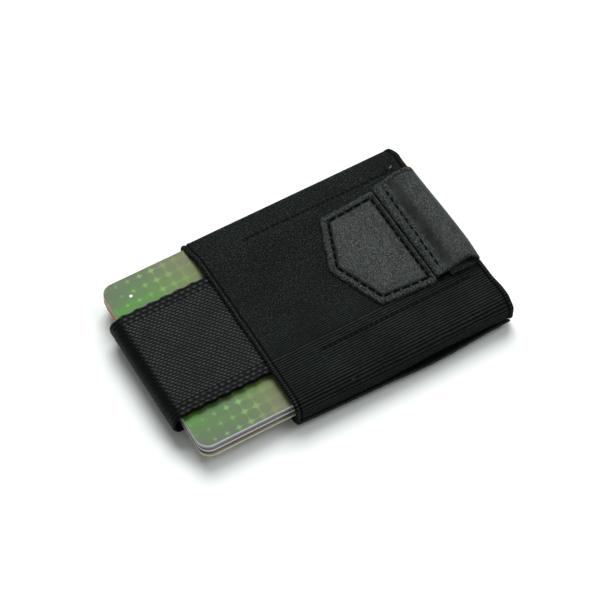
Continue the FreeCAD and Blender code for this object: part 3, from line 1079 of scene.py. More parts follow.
@dataclass
class Seam:
    """Rows of thread, each stitch a short tube that dives into the cloth at both ends.

    Attributes:
        radius: Radius of the thread, in millimetres.
        length: Length of a visible stitch.
        rings: Rings of points along a stitch.
        sides: Points round a ring.
    """

    radius: float = 0.2
    length: float = 2.0
    rings: int = 11
    sides: int = 8

    def row(self, start: np.ndarray, end: np.ndarray, pitch: float) -> list[tuple[np.ndarray, np.ndarray]]:
        """Gives the two ends of each stitch of a straight row."""
        run = end - start
        long = float(np.linalg.norm(run))
        count = max(1, int(round(long / pitch)))
        ahead = run / long * self.length / 2
        middles = [start + run * (k + 0.5) / count for k in range(count)]
        return [(m - ahead, m + ahead) for m in middles]

    @staticmethod
    def laid(stitches: Sequence, piece: bpy.types.Object, sink: float) -> list[tuple[np.ndarray, np.ndarray]]:
        """Puts the ends of stitches on top of a piece.

        Args:
            stitches: Two ends of each stitch.
            piece: What they lie on.
            sink: How far below its face they lie, in millimetres.

        Returns:
            The two ends of each stitch, moved up or down.
        """
        points = [v.co / MM for v in piece.data.vertices]
        found = BVHTree.FromPolygons(points, [tuple(p.vertices) for p in piece.data.polygons])
        moved = []
        for pair in stitches:
            ends = []
            for end in pair:
                hit = found.ray_cast(Vector((end[0], end[1], 30.0)), Vector((0, 0, -1)))[0]
                ends.append(np.array([end[0], end[1], end[2] if hit is None else hit[2] - sink]))
            moved.append((ends[0], ends[1]))
        return moved

    def build(
        self,
        name: str,
        stitches: Sequence[tuple[np.ndarray, np.ndarray]],
        rise: float,
        dive: float,
        up: float = 1.0,
        seed: int = 3,
    ) -> bpy.types.Object:
        """Makes one piece of many stitches.

        Args:
            name: Name of the piece.
            stitches: Two ends of each stitch, on the surface that it lies on.
            rise: How far the thread's middle stands over that surface.
            dive: How far its ends go down.
            up: 1 for a row on top of a layer, -1 for one under it.
            seed: Seed of the small differences between stitches.

        Returns:
            The new object.
        """
        chance = np.random.default_rng(seed)
        share = np.linspace(0.0, 1.0, self.rings)
        arch = np.sin(np.pi * share) ** 0.45
        turn = np.arange(self.sides) / self.sides * TURN
        points, faces, cloth = [], [], []
        for start, end in stitches:
            jitter = chance.normal(0.0, 0.06, (2, 3)) * (1, 1, 0.4)
            a, b = start + jitter[0], end + jitter[1]
            line = a + (b - a) * share[:, None]
            line[:, 2] += up * (arch * (rise + dive) - dive)
            ahead = np.gradient(line, axis=0)
            ahead /= np.linalg.norm(ahead, axis=1, keepdims=True)
            side = np.cross(ahead, (0, 0, 1.0))
            side /= np.maximum(np.linalg.norm(side, axis=1, keepdims=True), 1e-9)
            over = np.cross(side, ahead)
            size = self.radius * (0.35 + 0.65 * np.sin(np.pi * share) ** 0.5)
            ring = side[:, None] * np.cos(turn)[None, :, None] + over[:, None] * np.sin(turn)[None, :, None]
            first = len(points) * self.rings * self.sides
            points.append((line[:, None] + ring * size[:, None, None]).reshape(-1, 3))
            along = np.repeat(share * float(np.linalg.norm(b - a)), self.sides)
            cloth.append(np.stack([along, np.tile(turn / TURN, self.rings)], 1))
            index = first + np.arange(self.rings * self.sides).reshape(self.rings, self.sides)
            after = np.roll(index, -1, 1)
            quads = np.stack([index[:-1], index[1:], after[1:], after[:-1]], 2).reshape(-1, 4)
            faces += quads[:, ::-1].tolist() + [index[0].tolist(), index[-1][::-1].tolist()]
        return make_object(name, np.concatenate(points), faces, {CLOTH_MAP: np.concatenate(cloth)})


# ---- Elastic sleeve and rear pocket ----


@dataclass
class Sleeve:
    """Elastic tube round the cards, its rear pocket and its lining. Sizes are in millimetres.

    Attributes:
        thickness: Thickness of the elastic.
        fold_radius: Radius of the side folds.
        shoulder: Width from a fold to the flat top.
        drop: How far the shoulder falls.
        slack: How far the front wall sinks beside the strap's channel.
        hem: Width of the woven edge at the left mouth.
        selvedge: Width of the woven edge at the right mouth.
        step: Spacing of the grid.
        pocket_open: Ends of the stretch where the pocket's lip stands open.
        far_fall: How far the front wall falls towards the far fold.
        hole_pitch: Spacing of the needle's holes.
        slit_start: From the patch's right edge to the slit.
        slit_end: From the patch's right edge to the slit's far side.
        slit_inset: How far each end of the slit lies within the strap's edge.
    """

    thickness: float = 0.8
    fold_radius: float = 2.6
    shoulder: float = 4.2
    drop: float = 0.9
    slack: float = 0.15
    hem: float = 1.8
    selvedge: float = 1.3
    step: float = 0.62
    pocket_open: tuple[float, float] = (-5.0, 22.0)
    far_fall: float = 1.35
    hole_pitch: float = 1.45
    slit_start: float = 0.2
    slit_end: float = 2.3
    slit_inset: float = 2.6

    def gape(self, x: np.ndarray) -> np.ndarray:
        """Tells how wide the pocket's near lip stands open at x, from 0 to 1."""
        start, end = self.pocket_open
        share = np.clip((x - start) / (end - start), 0.0, 1.0)
        return np.sin(np.pi * share) ** 1.2

    def profile(self) -> tuple[np.ndarray, float]:
        """Gives the middle line of the tube's wall, from the middle of its back and round.

        Returns:
            The points and the line's length.
        """
        low, high = box_mm("outer_sleeve")
        half = self.thickness / 2
        side, bottom, top = high[1] - half, low[2] + half, high[2] - half
        corners = [
            (0.0, bottom),
            (side, bottom),
            (side, top - self.drop),
            (side - self.shoulder, top),
            (-side + self.shoulder, top),
            (-side, top - self.drop),
            (-side, bottom),
            (0.0, bottom),
        ]
        r = self.fold_radius
        path = rounded_path(corners, [0, r, r, 9.0, 9.0, r, r, 0], False)
        return path, path_length(path)

    def build_sleeve(self, f: Fitter) -> bpy.types.Object:
        """Builds the elastic tube."""
        low, high = box_mm("outer_sleeve")
        path, around = self.profile()
        rim = self.thickness * 0.6
        strap_low, strap_high = box_mm("strap_front_leg")
        patch_high = box_mm("leather_patch")[1]
        slit = (patch_high[0] + self.slit_start, patch_high[0] + self.slit_end)
        slit_y = (strap_low[1] + self.slit_inset, strap_high[1] - self.slit_inset)
        dense_left = np.arange(low[0] + 0.6, low[0] + 3.2, 0.16)
        dense_right = np.arange(high[0] - 2.6, high[0] - 0.6, 0.18)
        dense = np.concatenate([dense_left, dense_right])
        xs = np.concatenate([stations(low[0], high[0], self.step * 0.6, rim), dense, slit])
        xs = np.unique(np.round(xs, 4))
        keep = np.concatenate([[True], np.diff(xs) > 0.01])
        xs = xs[keep]
        count = int(around / self.step)
        lengths = np.arange(count) * around / count
        loop = resample(path, lengths)
        on_top = loop[:, 1] > (low[2] + high[2]) / 2
        columns = [int(np.argmin(np.abs(loop[:, 0] - y) + 99.0 * ~on_top)) for y in slit_y]
        for column, y in zip(columns, slit_y):
            loop[column, 0] = y
        x, s = np.meshgrid(xs, lengths, indexing="ij")
        y = np.broadcast_to(loop[:, 0], x.shape).copy()
        z = np.broadcast_to(loop[:, 1], x.shape).copy()
        middle = np.stack([x, y, z], 2)
        top = ease(z, 6.5, 8.6)
        beside = ease(np.abs(y + 0.5), 16.6, 20.5) * (1 - ease(np.abs(y), 23.0, 27.5))
        fallen = ease(y, 16.5, 27.0) * self.far_fall
        middle[..., 2] = 1.5 + (z - 1.5) * (1 - fallen / 7.9)
        middle[..., 1] -= 0.35 * ease(y, 22.0, 28.5)
        soft = ruffle(middle, 16.0, 3.1)
        fine = ruffle(middle, 5.0, 8.3)
        middle[..., 2] += top * (-self.slack * beside + 0.16 * soft + 0.05 * fine)
        near_low = ease(-y, 24.0, 28.4) * (1 - ease(z, 2.4, 5.5))
        middle[..., 2] += 1.0 * self.gape(x) * near_low
        edge = ease(x, high[0] - 9.0, high[0])
        near_fold = ease(-y, 20.0, 28.0)
        far_fold = ease(y, 20.0, 28.0)
        wave = 0.14 * np.sin(s / 3.1) + 0.16 * ruffle(middle, 3.0, 5.5)
        reach = 0.5 * ease(-y, 8.0, 16.0) + 0.6 * near_fold - 0.2 * far_fold
        reach += (0.3 * ease(y, 15.0, 18.0) + 0.75 * bell(y, 25.2, 2.4)) * top
        middle[..., 0] += edge * (reach + wave * (0.35 + 0.65 * near_fold))
        bulge = np.sin(np.pi * (x - low[0]) / (high[0] - low[0]))
        middle[..., 1] -= (0.3 + 0.55 * edge + 0.6 * bulge) * near_fold * (1 - top)
        left = ease(-x, 26.0, 30.0)
        middle[..., 0] -= left * (0.5 * far_fold - 0.12 * ruffle(middle, 4.0, 1.7))
        from_rim = np.minimum(x - low[0], high[0] - x)
        half = rounded_rim(from_rim, self.thickness / 2, rim)
        inside = ease(from_rim, 0.0, rim)
        # The relief also sets the elastic's colour: grooves are painted darker as shade and ridges lighter as
        # painted light.
        relief = 0.4 * bell(x, low[0] + 0.6, 0.36) * (1 - 0.8 * far_fold)
        relief -= 0.26 * bell(x, low[0] + 1.35, 0.22)
        relief += 0.08 * bell(x, low[0] + self.hem, 0.3)
        relief -= 0.26 * bell(x, high[0] - self.selvedge, 0.2)
        relief += 0.12 * ease(x, high[0] - self.selvedge, high[0] - self.selvedge + 0.3)
        relief += 0.16 * ruffle(middle, 0.9, 6.6) * ease(x, high[0] - self.selvedge, high[0] - 0.4)
        for node in ("channel_stitches_near", "channel_stitches_far"):
            row_low, row_high = box_mm(node)
            line = (row_low[1] + row_high[1]) / 2
            reach = span(x, row_low[0], row_high[0], 1.0)
            holes = 0.5 + 0.5 * np.sin(TURN * x / self.hole_pitch)
            drawn_in = (0.05 + 0.16 * holes) * bell(y, line, 0.45) - 0.08 * holes * bell(y, line - 0.9, 0.5)
            relief -= drawn_in * reach * top
        row_end = box_mm("channel_stitches_far")[1]
        by_end = bell(x, row_end[0] - 1.5, 3.0) * bell(y, row_end[1] - 0.3, 1.3) * top
        relief += 0.3 * ruffle(middle, 0.8, 4.9) * by_end
        relief *= inside
        hole = np.zeros((len(xs) - 1, count), bool)
        rows = [int(np.argmin(np.abs(xs - v))) for v in slit]
        first, last = sorted(columns)
        hole[rows[0] : rows[1], first:last] = True
        drawn = 0.16 * np.clip(s - around * 0.42, 0.0, around * 0.2)
        cloth = np.stack([x, s + drawn], 2)
        folded_in = (1 - ease(x, low[0] + 1.6, low[0] + 2.6)) * inside
        beside_strap = ease(np.abs(y + 0.5), 17.4, 18.6)
        backing = folded_in * (0.25 + 0.85 * beside_strap * top * (1 - ease(np.abs(y), 25.5, 27.5)))
        skin = Skin("sleeve_elastic", middle, half, relief, cloth, True, -1, hole, backing)
        piece = skin.build()
        finish = ElasticFinish().make(f.groups, "elastic_ribbed", around * 0.67, around * 0.53)
        f.fit(piece, finish, ["outer_sleeve"], Body.SLEEVE.value)
        return piece

    def build_pocket(self, f: Fitter) -> bpy.types.Object:
        """Builds the rear pocket, whose near lip stands open in the middle."""
        low, high = box_mm("cash_pocket")
        half_t = self.thickness / 2
        rim = self.thickness * 0.6
        tip_y = high[1] - 0.75
        tip_z = high[2] + 0.25
        bend = high[1] - 2.4
        corners = [(-tip_y, tip_z), (-bend, low[2] + half_t), (bend, low[2] + half_t), (tip_y, tip_z)]
        path = rounded_path(corners, [0, 3.2, 3.2, 0], False)
        wide = path_length(path)
        xs = stations(low[0] + 0.15, high[0] - 0.1, self.step * 1.2, rim)
        lengths = stations(0.0, wide, self.step * 0.9, rim)
        line = resample(path, lengths)
        x, s = np.meshgrid(xs, lengths, indexing="ij")
        y = np.broadcast_to(line[:, 0], x.shape).copy()
        z = np.broadcast_to(line[:, 1], x.shape).copy()
        middle = np.stack([x, y, z], 2)
        lip = ease(-y, 25.0, 29.5)
        rightward = ease(x, low[0], high[0])
        bulge = np.sin(np.pi * np.clip((x - low[0]) / (high[0] - low[0]), 0.0, 1.0))
        middle[..., 1] -= (0.7 + 0.5 * rightward + 0.75 * bulge + 0.3 * self.gape(x)) * lip
        middle[..., 2] -= 0.32 * self.gape(x) * lip
        lift = np.abs(ruffle(middle, 9.0, 2.2)) * ease(z, low[2] + half_t, low[2] + half_t + 0.8)
        middle[..., 2] += 0.12 * lift
        from_rim = np.minimum(np.minimum(x - xs[0], xs[-1] - x), np.minimum(s, wide - s))
        half = rounded_rim(from_rim, half_t, rim) * (1 + 0.3 * ease(-y, 28.6, 29.6))
        relief = 0.1 * bell(x, low[0] + self.hem, 0.3) + 0.1 * bell(x, high[0] - self.selvedge, 0.3)
        seam = box_mm("pocket_seam_stitches")
        rows = (seam[0][1] + 0.2, seam[1][1] - 0.2)
        for side in rows:
            relief -= 0.2 * bell(y, side, 0.5)
        # Only the grooves are kept; they also darken the elastic's colour as painted shade.
        relief = np.minimum(relief, 0.0) * ease(from_rim, 0.0, rim)
        skin = Skin("pocket_elastic", middle, half, relief, np.stack([x, s], 2), False, -1)
        piece = skin.build()
        finish = ElasticFinish().make(f.groups, "elastic_pocket", -1.0, wide + 90.0)
        f.fit(piece, finish, ["cash_pocket"], Body.SLEEVE.value)
        return piece

    def build_lining(self, f: Fitter) -> bpy.types.Object:
        """Builds the thin cloth that closes the strap's channel."""
        low, high = box_mm("channel_lining")
        half_t = (high[2] - low[2]) / 2
        xs = stations(low[0], high[0], 1.6, half_t)
        ys = stations(low[1], high[1], 1.6, half_t)
        x, y = np.meshgrid(xs, ys, indexing="ij")
        middle = np.stack([x, y, np.full_like(x, (low[2] + high[2]) / 2)], 2)
        from_rim = np.minimum(np.minimum(x - xs[0], xs[-1] - x), np.minimum(y - ys[0], ys[-1] - y))
        half = rounded_rim(from_rim, half_t, half_t)
        skin = Skin("channel_lining_cloth", middle, half, np.zeros_like(half), np.stack([x, y], 2))
        piece = skin.build()
        finish = LiningFinish().make(f.groups, "lining_weave")
        f.fit(piece, finish, ["channel_lining"], Body.SLEEVE.value)
        return piece


# ---- Webbing strap ----


@dataclass
class Webbing:
    """The pull strap: one length of webbing round the cards' ends and up through the slit.

    Attributes:
        thickness: Thickness of the webbing, in millimetres.
        row_pitch: Spacing of the rows of floats across the webbing.
        float_pitch: Spacing of the floats along a row.
        edge_pitch: Width of the heavier rows at each edge.
        edge_float: Spacing of their floats.
        edge_rows: Number of heavier rows at each edge.
        relief: How far a float stands out.
        scallop: How far the edge swells between the weft's turns.
        half_float: Half length of a float, as a share of the spacing along the row.
        edge_reach: Half width of a heavier float, as a share of its row.
        inner_reach: Half width of an inner float, as a share of its row.
        edge_height: Share of the relief that a heavier float has.
        inner_height: Share of the relief that an inner float has.
        lean: How far an inner float leans, as a share of its spacing.
        grid_step: Spacing of the grid along the part that shows.
        hidden_step: Spacing of the grid along the parts inside the sleeve.
        columns: Grid columns over the outer face.
        drawn_length: Length of the finely gridded part beyond the bend at the slit.
        drawn_rows: Grid rows along that part.
        tail_half: Half thickness of the pressed end inside the tab.
        bend_inset: How far the bend stays within its CAD box.
        gather: How far each edge draws in at the slit.
        flattened: Share of the floats' height that is lost round the bend. Because the webbing's colour
            follows the floats' height, this also paints shade on the bend.
    """

    thickness: float = 1.1
    row_pitch: float = 0.74
    float_pitch: float = 1.2
    edge_pitch: float = 1.2
    edge_float: float = 1.75
    edge_rows: int = 3
    relief: float = 0.42
    scallop: float = 0.34
    half_float: float = 0.5
    edge_reach: float = 0.42
    inner_reach: float = 0.5
    edge_height: float = 0.82
    inner_height: float = 0.95
    lean: float = 0.26
    grid_step: float = 0.27
    hidden_step: float = 2.4
    columns: int = 164
    drawn_length: float = 1.9
    drawn_rows: int = 70
    tail_half: float = 0.33
    bend_inset: float = 0.75
    gather: float = 3.0
    flattened: float = 0.62

    def path(self) -> np.ndarray:
        """Gives the middle line of the strap, from its sewn end, round the cards and up the slit."""
        back_low, back_high = box_mm("strap_back_leg")
        front_low = box_mm("strap_front_leg")[0]
        bend_low = box_mm("strap_bend")[0]
        half = self.thickness / 2
        lower = (back_low[2] + back_high[2]) / 2
        upper = front_low[2] + half
        left = bend_low[0] + half + self.bend_inset
        radius = (upper - lower) / 2
        foot, head = self.slit_line()
        corners = [(back_high[0], lower), (left, lower), (left, upper), (foot[0], upper), tuple(head)]
        return rounded_path(corners, [0, radius * 0.97, radius * 0.97, 0.8, 0], False)

    def slit_line(self) -> tuple[np.ndarray, np.ndarray]:
        """Gives the points where the strap starts to rise to the slit, and where it is in it."""
        edge = box_mm("leather_patch")[1][0]
        level = box_mm("strap_front_leg")[0][2] + self.thickness / 2
        top = box_mm("outer_sleeve")[1][2]
        return np.array([edge + 0.15, level]), np.array([edge + 1.2, top - 0.3])

    def weave(self, along: np.ndarray, over: np.ndarray, width: float) -> np.ndarray:
        """Gives the height of the floats.

        Args:
            along: Distance along the webbing, in millimetres.
            over: Distance from its near edge.
            width: Its width.

        Returns:
            The height over the webbing's ground, in millimetres.
        """
        band = self.edge_pitch * self.edge_rows
        from_edge = np.minimum(over, width - over)
        heavy = from_edge < band
        inner_rows = max(1, round((width - 2 * band) / self.row_pitch))
        inner_pitch = (width - 2 * band) / inner_rows
        row = np.where(heavy, from_edge / self.edge_pitch, (over - band) / inner_pitch)
        number = np.floor(row)
        share = row - number - 0.5
        pitch = np.where(heavy, self.edge_float, self.float_pitch)
        lean = np.where(heavy, 0.0, self.lean)
        phase = along / pitch + number * 0.5 + share * lean
        centred = phase - np.floor(phase) - 0.5
        reach = np.where(heavy, self.edge_reach, self.inner_reach)
        body = 1 - (centred / self.half_float) ** 2 - (share / reach) ** 2
        height = np.sqrt(np.clip(body, 0.0, 1.0))
        return height * self.relief * np.where(heavy, self.edge_height, self.inner_height)

    def build_loop(self, f: Fitter) -> bpy.types.Object:
        """Builds the strap from its sewn end to the slit."""
        low, high = box_mm("strap_front_leg")
        near, far = low[1], high[1]
        width = far - near
        path = self.path()
        total = path_length(path)
        mouth_x = box_mm("outer_sleeve")[0][0]
        reach_back = path[0, 0] - mouth_x - 5.0
        reach_front = total - (path[-1, 0] - mouth_x - 5.0) - 2.0
        exposed = np.arange(reach_back, reach_front, self.grid_step)
        hidden_back = stations(0.0, reach_back, self.hidden_step, 0.6)[:-1]
        hidden_front = np.arange(reach_front + 0.7, total - 5.0, self.hidden_step)
        rising = np.arange(total - 4.4, total - 0.7, 0.9)
        tail = total - np.array([0.6, 0.4, 0.2, 0.05, 0.0])
        places = np.concatenate([hidden_back, exposed, hidden_front, rising, tail])
        line = resample(path, places)
        half_t = self.thickness / 2 - 0.1
        bend_x = -float(line[:, 0].min())
        overs = stations(0.0, width, width / self.columns, 0.5)
        s, v = np.meshgrid(places, overs, indexing="ij")
        x = np.broadcast_to(line[:, :1], s.shape).copy()
        z = np.broadcast_to(line[:, 1:], s.shape).copy()
        y = near + v
        from_edge = np.minimum(v, width - v)
        swell = self.scallop * (0.5 + 0.5 * np.cos(TURN * s / 3.8)) * (1 - ease(from_edge, 0.0, 1.6))
        y += np.where(v < width / 2, swell, -swell)
        middle = np.stack([x, y, z], 2)
        out = span(s, reach_back, reach_front, 1.0)
        crooked = ruffle(np.stack([s, v, v * 0], 2), 7.0, 4.4)
        middle[..., 1] += 0.12 * crooked * out
        middle[..., 2] += 0.08 * ruffle(middle, 11.0, 6.1) * out
        gathered = ease(s, total - 3.2, total - 0.9)
        y -= gathered * (v / width - 0.5) * 2 * self.gather
        middle[..., 1] = y
        half = rounded_rim(np.minimum(from_edge, np.minimum(s, total - s)), half_t, 0.5)
        wobble = 0.12 * ruffle(np.stack([s * 0.5, v * 2.0, v * 0], 2), 1.5, 9.7)
        # The relief also sets the webbing's colour: where it is low, between the floats, at the edges and
        # round the bend, the colour is painted darker as shade.
        relief = self.weave(s + wobble, v, width) * out * ease(from_edge, 0.0, 0.45)
        relief *= 0.86 + 0.14 * ruffle(np.stack([s, v, v * 0], 2), 1.1, 2.9)
        # Flattening the floats round the bend also darkens the bend's colour, a painted shade.
        relief *= 1 - self.flattened * ease(-x, bend_x - 2.8, bend_x - 1.2)
        skin = Skin("pull_strap", middle, half, relief, np.stack([s, v], 2))
        skin.outward = self.outer_side(skin, places, reach_back, reach_front)
        piece = skin.build()
        material = WebbingFinish(full=self.relief).make(f.groups, "webbing_woven")
        nodes = ["strap_back_leg", "strap_bend", "strap_front_leg"]
        f.fit(piece, material, nodes, None)
        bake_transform(piece)
        return piece

    @staticmethod
    def outer_side(skin: Skin, places: np.ndarray, start: float, end: float) -> int:
        """Tells which side of the grid faces out at the bend, as 1 or -1."""
        row = int(np.argmin(np.abs(places - (start + end) / 2)))
        return 1 if skin.normals()[row, skin.half.shape[1] // 2, 0] < 0 else -1

    def build_tail(self, f: Fitter) -> bpy.types.Object:
        """Builds the strap's end, from the slit into the tab."""
        low, high = box_mm("strap_tab_end")
        front_low, front_high = box_mm("strap_front_leg")
        foot, head = self.slit_line()
        rise = (head - foot) / np.linalg.norm(head - foot)
        top = box_mm("outer_sleeve")[1][2]
        start = head - rise * 0.4
        corners = [
            tuple(start),
            tuple(head),
            (head[0] + 0.75, top + 0.66),
            (head[0] + 2.1, top + 0.95),
            (head[0] + 3.6, top + 1.3),
            (high[0] - 1.4, top + 1.5),
        ]
        path = spline(corners, 120)
        total = path_length(path)
        bent = float(np.interp(head[0] + 1.35, path[:, 0], np.linspace(0.0, total, len(path))))
        drawn = np.linspace(bent, bent + self.drawn_length, self.drawn_rows)
        rising = stations(0.0, bent, 0.25, 0.3)[:-1]
        inside_tab = stations(bent + self.drawn_length, total, 0.6, 0.3)[1:]
        places = np.concatenate([rising, drawn, inside_tab])
        line = resample(path, places)
        across = stations(0.0, 1.0, 0.02, 0.015)
        s, v = np.meshgrid(places, across, indexing="ij")
        narrow = ease(s, 0.3, bent + 0.8)
        near = front_low[1] + self.gather + (low[1] + 0.3 - front_low[1] - self.gather) * narrow + 0.1
        far = front_high[1] - self.gather + (high[1] - 0.3 - front_high[1] + self.gather) * narrow - 0.1
        y = near + (far - near) * v
        x = np.broadcast_to(line[:, :1], s.shape)
        z = np.broadcast_to(line[:, 1:], s.shape)
        from_edge = np.minimum(np.minimum(y - near, far - y), np.minimum(s, total - s))
        pressed = ease(s, 0.4, bent)
        half = rounded_rim(from_edge, self.thickness / 2 - 0.05, 0.45)
        half *= 1 - pressed * (1 - self.tail_half / (self.thickness / 2 - 0.05))
        skin = Skin("pull_strap_end", np.stack([x, y, z], 2), half, np.zeros_like(half), np.stack([s, y], 2))
        piece = skin.build()
        material = WebbingFinish().make_flat(f.groups, "webbing_drawn")
        f.fit(piece, material, ["strap_tab_end"], None)
        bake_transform(piece)
        return piece


# ---- Leather patch and tab ----


@dataclass
class Patch:
    """Five-sided leather patch with a raised rough rim and a sewn groove. Sizes are in millimetres.

    Attributes:
        side_length: Length of its two long sides.
        narrow: How much narrower it is at their left ends.
        corner: Radius of its corners.
        inset: Distance from the cut to the stitches.
        puff: How far the middle swells.
        groove: Depth of the sewn groove.
        rim: Width of the rough rim.
        pitch: Spacing of the stitches.
        apex_reach: How far the apex stands to the left of its CAD place.
        right_near: How much nearer to the cut the right side's stitches are.
    """

    side_length: float = 15.6
    narrow: float = 1.1
    corner: float = 1.0
    inset: float = 2.0
    puff: float = 0.3
    groove: float = 0.6
    rim: float = 1.5
    pitch: float = 2.45
    apex_reach: float = 1.0
    right_near: float = 0.6

    def corners(self) -> np.ndarray:
        """Gives the corners, anticlockwise from the near right one."""
        low, high = box_mm("leather_patch")
        shoulder_x = high[0] - self.side_length
        middle = (low[1] + high[1]) / 2
        return np.array(
            [
                (high[0], low[1]),
                (high[0], high[1]),
                (shoulder_x, high[1] - self.narrow),
                (low[0] - self.apex_reach, middle),
                (shoulder_x, low[1] + self.narrow),
            ]
        )

    def distance(self, x: np.ndarray, y: np.ndarray) -> np.ndarray:
        """Gives the distance from each point to the nearest side, inwards."""
        corners = self.corners()
        found = []
        for a, b in zip(corners, np.roll(corners, -1, 0)):
            ahead = (b - a) / np.linalg.norm(b - a)
            found.append(-(x - a[0]) * ahead[1] + (y - a[1]) * ahead[0])
        found[0] = found[0] + self.right_near
        return np.min(found, axis=0)

    def build(self, f: Fitter) -> bpy.types.Object:
        """Builds the patch."""
        low, high = box_mm("leather_patch")
        outline = rounded_path([tuple(c) for c in self.corners()], [self.corner] * 5, True)
        outline = np.concatenate([outline, outline[:1]])
        around = path_length(outline)
        count = 420
        ring = resample(outline, np.arange(count) * around / count)
        centre = np.array([(low[0] + high[0]) / 2 + 1.2, (low[1] + high[1]) / 2])
        rim_rings = [0, 0.004, 0.012, 0.025]
        seam_rings = np.linspace(0.045, 0.34, 30)
        inner_rings = np.linspace(0.38, 0.99, 20)
        shrink = np.concatenate([rim_rings, seam_rings, inner_rings])
        level = np.stack([ring[:, 0], ring[:, 1], ring[:, 0] * 0], 1)
        ragged = ruffle(level, 0.7, 12.4)
        ragged += 0.6 * ruffle(level, 0.25, 7.4)
        outward = (ring - centre) / np.linalg.norm(ring - centre, axis=1, keepdims=True)
        right_side = ring[:, 0] > high[0] - 0.3
        rough = ring + outward * (0.24 * ragged * ~right_side)[:, None]
        grid = centre + (rough - centre)[None] * (1 - shrink)[:, None, None]
        x, y = grid[..., 0], grid[..., 1]
        inward = self.distance(x, y)
        thickness = high[2] - low[2]
        edge = np.sqrt(np.clip(1 - (1 - np.clip(shrink / 0.03, 0, 1)) ** 2, 0, 1))[:, None]
        place = np.stack([x, y, x * 0], 2)
        frayed = ruffle(place, 0.55, 3.3) * (1 - ease(inward, 1.1, 1.9))
        body = thickness * (0.85 + 0.15 * ease(inward, 0.0, 0.9)) + 0.26 * frayed
        body -= self.groove * bell(inward, self.inset, 0.42)
        body += self.puff * ease(inward, self.inset + 0.1, self.inset + 3.2)
        body += 0.1 * ruffle(place, 4.5, 1.1) * ease(inward, 2.5, 4.0)
        rise = 0.3 * bell(x, high[0] - 0.55, 0.35) * (1 - ease(inward, 1.2, 1.6))
        top = low[2] + (body + rise) * edge
        bottom = np.full_like(top, low[2] + 0.02)
        rings = len(shrink)
        upper = np.stack([x, y, top], 2).reshape(-1, 3)
        lower = np.stack([x, y, bottom], 2)[[0, 3, rings - 1]].reshape(-1, 3)
        points = np.concatenate([upper, lower])
        faces = self.rings_faces(np.arange(rings * count).reshape(rings, count), False)
        under = rings * count + np.arange(3 * count).reshape(3, count)
        faces += self.rings_faces(under, True)
        faces += self.rings_faces(np.stack([under[0], np.arange(count)]), False)
        faces += [list(range((rings - 1) * count, rings * count)), under[2][::-1].tolist()]
        along_rim = np.broadcast_to(np.arange(count) * around / count, x.shape)
        flat_map = np.stack([inward, along_rim], 2).reshape(-1, 2)
        cloth = np.concatenate([flat_map, np.zeros((3 * count, 2))])
        piece = make_object("leather_patch_hide", points, faces, {CLOTH_MAP: cloth})
        material = LeatherFinish().make(f.groups, "leather_patch", self.rim, 0.5)
        f.fit(piece, material, ["leather_patch"], Body.SLEEVE.value)
        return piece

    @staticmethod
    def rings_faces(index: np.ndarray, flipped: bool) -> list:
        """Joins closed rings of points into faces."""
        after = np.roll(index, -1, 1)
        quads = np.stack([index[:-1], after[:-1], after[1:], index[1:]], 2).reshape(-1, 4)
        return (quads[:, ::-1] if flipped else quads).tolist()

    def build_fray(self, f: Fitter) -> bpy.types.Object:
        """Builds the short fibres that stand out of the cut edge."""
        low, high = box_mm("leather_patch")
        corners = self.corners()
        chance = np.random.default_rng(11)
        points, faces = [], []
        sides = [(2, 3, 60), (3, 4, 70), (4, 0, 130), (1, 2, 70)]
        for a, b, count in sides:
            run = corners[b] - corners[a]
            out = np.array([run[1], -run[0]]) / np.linalg.norm(run)
            for share in chance.uniform(0.02, 0.98, count):
                foot = corners[a] + run * share - out * 0.15
                heading = out + run / np.linalg.norm(run) * chance.normal(0.0, 0.55)
                heading /= np.linalg.norm(heading)
                long = chance.uniform(0.3, 0.8)
                z = chance.uniform(low[2] + 0.15, high[2] - 0.15)
                fall = chance.uniform(-0.35, 0.15)
                aside = np.array([-heading[1], heading[0]]) * chance.uniform(0.03, 0.07)
                tip = foot + heading * long
                base = len(points)
                points += [
                    (foot[0] + aside[0], foot[1] + aside[1], z),
                    (foot[0] - aside[0], foot[1] - aside[1], z),
                    (foot[0], foot[1], z + 0.09),
                    (tip[0], tip[1], z + fall * long),
                ]
                faces += [[base, base + 1, base + 2], [base, base + 3, base + 1]]
                faces += [[base + 1, base + 3, base + 2], [base + 2, base + 3, base]]
        cloth = np.zeros((len(points), 2))
        piece = make_object("leather_fray", np.array(points), faces, {CLOTH_MAP: cloth})
        material = LeatherFinish().make(f.groups, "leather_fibres", self.rim, 0.5)
        return f.fit(piece, material, [], Body.SLEEVE.value)

    def build_stitches(self, f: Fitter, thread: bpy.types.Material) -> bpy.types.Object:
        """Builds the row of stitches in the groove."""
        top = box_mm("leather_patch")[1][2] - 0.22
        corners = self.corners()
        sides = list(zip(corners, np.roll(corners, -1, 0)))
        lines = []
        for k, (a, b) in enumerate(sides):
            ahead = (b - a) / np.linalg.norm(b - a)
            inset = self.inset - self.right_near * (k == 0)
            lines.append((a + np.array([-ahead[1], ahead[0]]) * inset, ahead))
        meets = []
        for (p, d), (q, e) in zip([lines[-1], *lines[:-1]], lines):
            step = np.linalg.solve(np.stack([d, -e], 1), q - p)
            meets.append(p + d * step[0])
        seam = Seam(radius=0.27, length=1.8)
        stitches = []
        for a, b in zip(meets, meets[1:] + meets[:1]):
            stitches += seam.row(np.array([*a, top]), np.array([*b, top]), self.pitch)
        piece = seam.build("leather_patch_thread", stitches, 0.12, 0.35)
        return f.fit(piece, thread, ["patch_stitches"], Body.SLEEVE.value)


